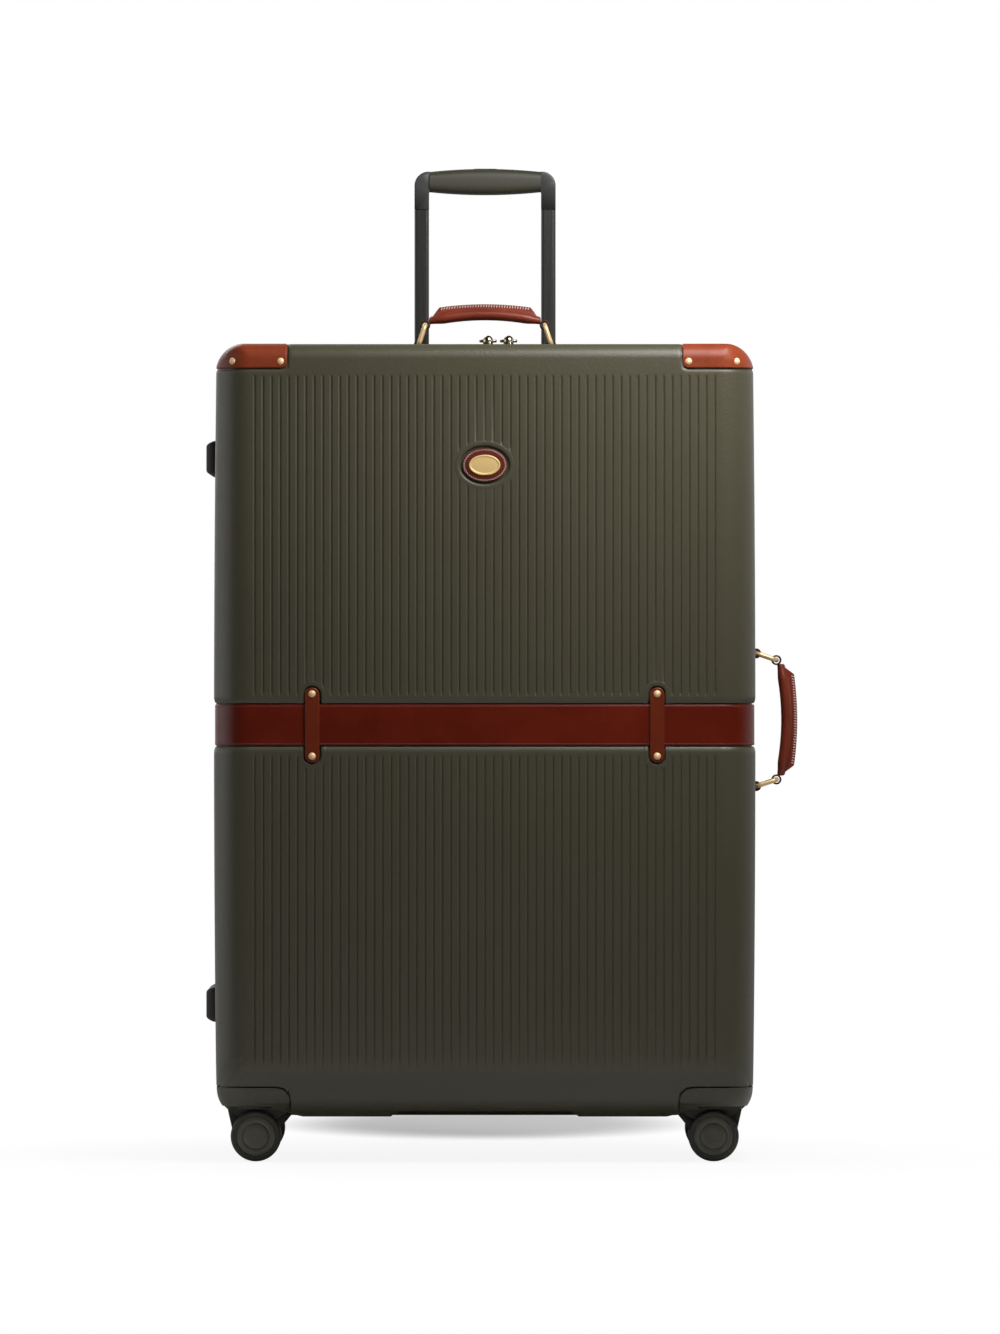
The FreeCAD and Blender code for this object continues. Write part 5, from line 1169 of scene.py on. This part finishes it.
tube_metal = anodised("tube_metal", colour(64, 64, 63), colour(76, 76, 75))
elbow_plastic = moulded_plastic("elbow_plastic", colour(56, 56, 55), colour(64, 64, 63), 0.4)
grip_plastic = moulded_plastic("grip_plastic", colour(54, 52, 40), colour(63, 61, 48), 0.5)
smoothed("trolley_bezel", elbow_plastic, "case")
for stage, body in (("outer", "case"), ("middle", "trolley_middle"), ("inner", "trolley_upper")):
    smoothed(f"trolley_{stage}_tubes", tube_metal, body)
smoothed("trolley_grip_frame", elbow_plastic, "trolley_upper")


def barrel(x, angle):
    """The grip's skin: a rounded square section whose height swells towards the middle along a parabola."""
    height = GRIP_END + (GRIP_MID - GRIP_END) * (1 - (x / GRIP_HALF) ** 2)
    power = 2 / GRIP_SQUARENESS
    across = np.sign(np.cos(angle)) * np.abs(np.cos(angle)) ** power
    up = np.sign(np.sin(angle)) * np.abs(np.sin(angle)) ** power
    return np.stack(np.broadcast_arrays(x, GRIP_Y + GRIP_DEPTH * across, GRIP_Z + height * up), axis=-1)


grip_x = GRIP_HALF * np.sin(np.linspace(-RIGHT_ANGLE, RIGHT_ANGLE, GRIP_STEPS))
grip_skin = capped(barrel(grip_x[:, None], full_circle(64)))
make_piece("trolley_grip_skin", as_patch(grip_skin, closed=True), grip_plastic, "trolley_upper",
           ["trolley_grip"], crease=50)
button_insets = [0, 0, 0.15, 0.5, 1.1, 2.0, 4.0, 4.5]
button_heights = [-2.0, -0.35, -0.05, 0.12, 0.2, 0.23, 0.25, 0.25]
button_rings = [
    rounded_rectangle(BUTTON_LENGTH, BUTTON_WIDTH, BUTTON_ROUND, inset) for inset in button_insets]
button = stood(
    button_rings, button_heights, (0, GRIP_Y, GRIP_Z + GRIP_MID), (1, 0, 0), (0, 1, 0), (0, 0, 1))
make_piece("trolley_button_cap", button, elbow_plastic, "trolley_button", ["trolley_button"],
           crease=60)

# Carry handles: one on top, one on the right side. Each is a leather roll with a sewn fin along its back,
# hung by leather loops on two brass rings, whose leather-covered brackets are screwed to the rear shell.

HANDLE_TOP_Y, HANDLE_SIDE_Y, HANDLE_SIDE_Z = 52.0, 46.0, 416.0
GRIP_REACH, ROLL_FOOT, ROLL_THICK, ROLL_WIDTH, ROLL_ARCH = 53.5, 22.5, 11.2, 17.0, 6.0
NECK_SHARE, NECK_REACH, END_MARGIN, END_ROUND = 0.35, 16, 0.35, 1.6
FIN_BASE, FIN_HEAD, FIN_RISE, FIN_WIDTH, FIN_DROP = 51.0, 43.5, 4.3, 4.0, 3.0
FIN_SUNK, FIN_FLARE, FIN_STEPS, CREST_STEPS = 2.0, 0.6, 9, 5
CREST_MARGIN, CREST_ROUND, CREST_HEIGHT = 1.02, 0.9, 0.5
SEWN_REACH, SEWN_COUNT, SEWN_BELOW, SEWN_PROUD, SEWN_LEAN = 41.5, 34, 1.8, 0.05, 0.35
SEWN_LENGTH, SEWN_THREAD = 2.8, 0.5
LOOP_X, LOOP_Z, LOOP_STEPS = 57.15, 23.97, 33
LOOP_EDGE = np.array([(3.2, -5.5), (3.6, -6.0), (4.4, -6.0), (4.8, -5.5)])
handle_leather = leather("handle_leather", colour(108, 43, 28), colour(132, 57, 39), 0.36, 0.4)
loop_leather = leather("loop_leather", colour(52, 28, 20), colour(70, 38, 28), 0.5, 0.2)
handle_thread = plain_finish("handle_thread", colour(240, 214, 202), 0.6)


def roll_level(u):
    """Height of the roll's middle line, an arch over its length."""
    return ROLL_FOOT + ROLL_THICK / 2 + ROLL_ARCH * (1 - (u / GRIP_REACH) ** 2)


def fin_level(share):
    """Height of the fin's back at a share of its half length, a lower arch."""
    return ROLL_FOOT + ROLL_THICK + ROLL_ARCH + FIN_RISE - FIN_DROP * share ** 2


def on_top(points):
    """From the handle's own frame, X along it and Z away from the case, to the top of the case."""
    return points + [0, HANDLE_TOP_Y, TOP]


def on_side(points):
    """From the handle's own frame to the right side of the case."""
    x, y, z = points[..., 0], points[..., 1], points[..., 2]
    return np.stack([HALF_WIDTH + z, HANDLE_SIDE_Y + y, HANDLE_SIDE_Z - x], axis=-1)


u = GRIP_REACH * np.sin(np.linspace(-RIGHT_ANGLE, RIGHT_ANGLE, 49))
swell = 1 - NECK_SHARE * smooth(np.abs(u), GRIP_REACH - NECK_REACH, GRIP_REACH)
pull = (swell * edge_rise(GRIP_REACH - np.abs(u) + END_MARGIN, END_ROUND))[:, None]
angle = full_circle(40)
roll_y = ROLL_WIDTH / 2 * pull * np.cos(angle)
roll_z = roll_level(u)[:, None] + ROLL_THICK / 2 * pull * np.sin(angle)
roll = np.stack(np.broadcast_arrays(u[:, None], roll_y, roll_z), axis=-1)

fin_u = np.linspace(-1, 1, 61)
fin_v = np.concatenate([np.linspace(0, 1, FIN_STEPS), np.ones(CREST_STEPS), np.linspace(1, 0, FIN_STEPS)])
fin_side = np.concatenate([
    np.full(FIN_STEPS, -1.0), np.linspace(-1, 1, CREST_STEPS + 2)[1:-1], np.full(FIN_STEPS, 1.0)])
fin_reach = (FIN_BASE + (FIN_HEAD - FIN_BASE) * fin_v) * fin_u[:, None]
fin_foot = roll_level(fin_reach) + FIN_SUNK
crest = edge_rise(CREST_MARGIN - np.abs(fin_side), CREST_ROUND) * CREST_HEIGHT
fin_z = fin_foot + (fin_level(fin_u)[:, None] - fin_foot) * fin_v + (crest - CREST_HEIGHT) * (fin_v == 1)
fin_y = FIN_WIDTH / 2 * fin_side * (1 + FIN_FLARE * (1 - fin_v) ** 3)
fin = np.stack(np.broadcast_arrays(fin_reach, fin_y, fin_z), axis=-1)

sewn_u = np.linspace(-SEWN_REACH, SEWN_REACH, SEWN_COUNT)
sewn_z = fin_level(sewn_u / FIN_HEAD) - SEWN_BELOW
loop_angle = np.linspace(0, FULL_TURN, LOOP_STEPS)[:, None]
loop_radius, loop_offset = np.concatenate([LOOP_EDGE, LOOP_EDGE[::-1] * [1, -1]]).T
for prefix, stand in (("top", on_top), ("side", on_side)):
    grip = f"{prefix}_handle_grip"
    make_piece(f"{prefix}_handle_roll", as_patch(stand(capped(roll)), closed=True), handle_leather, grip,
               [grip], crease=60)
    make_piece(f"{prefix}_handle_fin", as_patch(stand(capped(fin)), closed=True, flip=True), handle_leather,
               grip, crease=50)
    rows = []
    for side in (FRONT, REAR):
        sewn_y = side * (FIN_WIDTH / 2 + SEWN_PROUD)
        places = np.stack(np.broadcast_arrays(sewn_u, sewn_y, sewn_z), axis=-1)
        along = stand(places + [SEWN_LEAN, 0, 1]) - stand(places)
        out = stand(places + [0, side, 0]) - stand(places)
        rows.append(threads(stand(places), along, out, SEWN_LENGTH, SEWN_THREAD))
    make_piece(f"{prefix}_handle_stitches", joined(*rows), handle_thread, grip)
    loops = []
    for hand in (LEFT, RIGHT):
        loop_x = hand * LOOP_X + loop_radius * np.cos(loop_angle)
        loop_z = LOOP_Z + loop_radius * np.sin(loop_angle)
        loop = np.stack(np.broadcast_arrays(loop_x, loop_offset, loop_z), axis=-1)
        loops.append(as_patch(stand(loop), closed=True))
    make_piece(f"{prefix}_handle_loops", joined(*loops), loop_leather, grip, crease=60)
    for letter in ("a", "b"):
        ring = f"{prefix}_handle_ring_{letter}"
        smoothed(ring, brass, ring, crease=60)
    smoothed(f"{prefix}_handle_brackets", loop_leather, "case")

# Combination lock: a satin metal plate let into the top of the rear half, with three plastic number wheels
# and a sliding release.

lock_metal = plain_finish("lock_metal", colour(120, 116, 106), 0.34, 0.9)
dial_plastic = plain_finish("dial_plastic", colour(40, 39, 35), 0.4)
smoothed("lock_body", lock_metal, "case")
for index in (1, 2, 3):
    smoothed(f"lock_dial_{index}", dial_plastic, f"lock_dial_{index}")
smoothed("lock_release", dial_plastic, "lock_release")

# Studio: a pale floor under a white surround, as for a catalogue, with a painted soft shadow on the floor
# behind the case and painted contact shade round its foot. One soft light hangs above the case, in front and
# to the right, a weak wide one stands on the left and another high behind, and a long lens looks level from
# ten metres.

FLOOR_REACH, FLOOR_ROUGHNESS = 30.0, 0.9
CAMERA_REACH, SENSOR, VIEW_HEIGHT = 10.0, 24.0, 1.252
VIEW_CENTRE = (0.0144, 0.4665)
WHITE, GREY = (1.0, 1.0, 1.0, 1.0), (0.45, 0.45, 0.45, 1.0)
# Painted shadow: a soft oval on the floor behind the case, and painted contact shade in a ring round its
# foot.
PAINTED_SHADOW_Y, PAINTED_SHADOW_NARROW, PAINTED_SHADOW_SPAN, PAINTED_SHADOW_SHARE = 0.72, (4.2, 2.5), (0.2, 1.0), 0.75
PAINTED_CONTACT_SPAN, PAINTED_CONTACT_SHARE = (0.2, 0.6), 0.1
FILL, FRONT_DARK = 0.03, 0.02
BACKDROP_SPAN, ABOVE_SPAN = (-0.6, 0.4), (0.1, 0.5)

floor_mesh = bpy.data.meshes.new("floor")
floor_corners = [(x * FLOOR_REACH, y * FLOOR_REACH, 0) for x, y in ((-1, -1), (1, -1), (1, 1), (-1, 1))]
floor_mesh.from_pydata(floor_corners, [], [(0, 1, 2, 3)])
floor = bpy.data.objects.new("floor", floor_mesh)
bpy.context.scene.collection.objects.link(floor)
floor_finish = Finish("pale_floor")
by_camera = floor_finish.add("LightPath", out="Is Camera Ray")
looked_at = by_camera + floor_finish.add("LightPath", out="Is Glossy Ray")
floor_finish.give({
    "Base Color": floor_finish.mix(looked_at, GREY, WHITE),
    "Roughness": FLOOR_ROUGHNESS,
    "Specular IOR Level": 0.0,
})
# Painted shadow and painted contact shade: masks by place on the floor cut back its white glow to the camera,
# so the lamp-lit grey floor shows there. Real cast shadows also show through inside these masks.
off_x = floor_finish.axis("X") * PAINTED_SHADOW_NARROW[0]
off_y = (floor_finish.axis("Y") - PAINTED_SHADOW_Y) * PAINTED_SHADOW_NARROW[1]
painted_shadow = 1 - (off_x * off_x + off_y * off_y).rise(*PAINTED_SHADOW_SPAN)
away = floor_finish.add("VectorMath", {"operation": "LENGTH"}, {0: floor_finish.place}, out="Value")
under = 1 - away.rise(*PAINTED_CONTACT_SPAN)
glowing = by_camera * (1 - painted_shadow * PAINTED_SHADOW_SHARE - under * PAINTED_CONTACT_SHARE)
glow = floor_finish.add("Emission", None, {"Color": WHITE, "Strength": 1.0})
plain = Shade(floor_finish, floor_finish.shader.outputs[0])
floor_look = floor_finish.add("MixShader", None, {0: glowing, 1: plain, 2: glow})
floor_finish.feed(floor_finish.tree.nodes["Material Output"].inputs["Surface"], floor_look)
floor_mesh.materials.append(floor_finish.material)


def area_light(name, place, target, size, power):
    """A square soft light in watts, turned to look at a target and itself out of the picture."""
    light = bpy.data.lights.new(name, "AREA")
    light.size = size
    light.energy = power
    lamp = bpy.data.objects.new(name, light)
    lamp.location = place
    lamp.rotation_mode = "QUATERNION"
    lamp.rotation_quaternion = (Vector(target) - Vector(place)).to_track_quat("-Z", "Y")
    lamp.visible_camera = False
    bpy.context.scene.collection.objects.link(lamp)


area_light("key", place=(0.4, -0.58, 1.27), target=(0, 0, 0.5), size=0.6, power=13)
area_light("side", place=(-1.4, -0.15, 0.7), target=(0, 0, 0.4), size=1.2, power=3.5)
area_light("behind", place=(-1.2, 2.2, 2.4), target=(0, 0, 0.4), size=1.6, power=30)

world = bpy.data.worlds.new("surround")
bpy.context.scene.world = world
world.use_nodes = True
world.cycles.sampling_method = "NONE"
surround = Nodes(world.node_tree)
direction = surround.add("TexCoord", out="Generated")
backdrop = surround.add("SeparateXYZ", None, {"Vector": direction}, out="Y").rise(*BACKDROP_SPAN)
above = surround.add("SeparateXYZ", None, {"Vector": direction}, out="Z").rise(*ABOVE_SPAN)
seen = surround.add("LightPath", out="Is Camera Ray")
mirrored = surround.add("LightPath", out="Is Glossy Ray")
mirrored = mirrored + surround.add("LightPath", out="Is Transmission Ray")
strength = seen + mirrored * (backdrop * (1 - above) + FRONT_DARK) + (1 - seen - mirrored) * FILL
background = world.node_tree.nodes["Background"]
surround.feed(background.inputs["Strength"], strength)
surround.feed(background.inputs["Color"], WHITE)

camera = bpy.data.objects.new("camera", bpy.data.cameras.new("camera"))
camera.data.sensor_fit = "VERTICAL"
camera.data.sensor_height = SENSOR
camera.data.lens = SENSOR * CAMERA_REACH / VIEW_HEIGHT
camera.location = (VIEW_CENTRE[0], -FACE * MM - CAMERA_REACH, VIEW_CENTRE[1])
camera.rotation_euler = (RIGHT_ANGLE, 0, 0)
bpy.context.scene.collection.objects.link(camera)
bpy.context.scene.camera = camera
bpy.context.scene.view_settings.view_transform = "Standard"
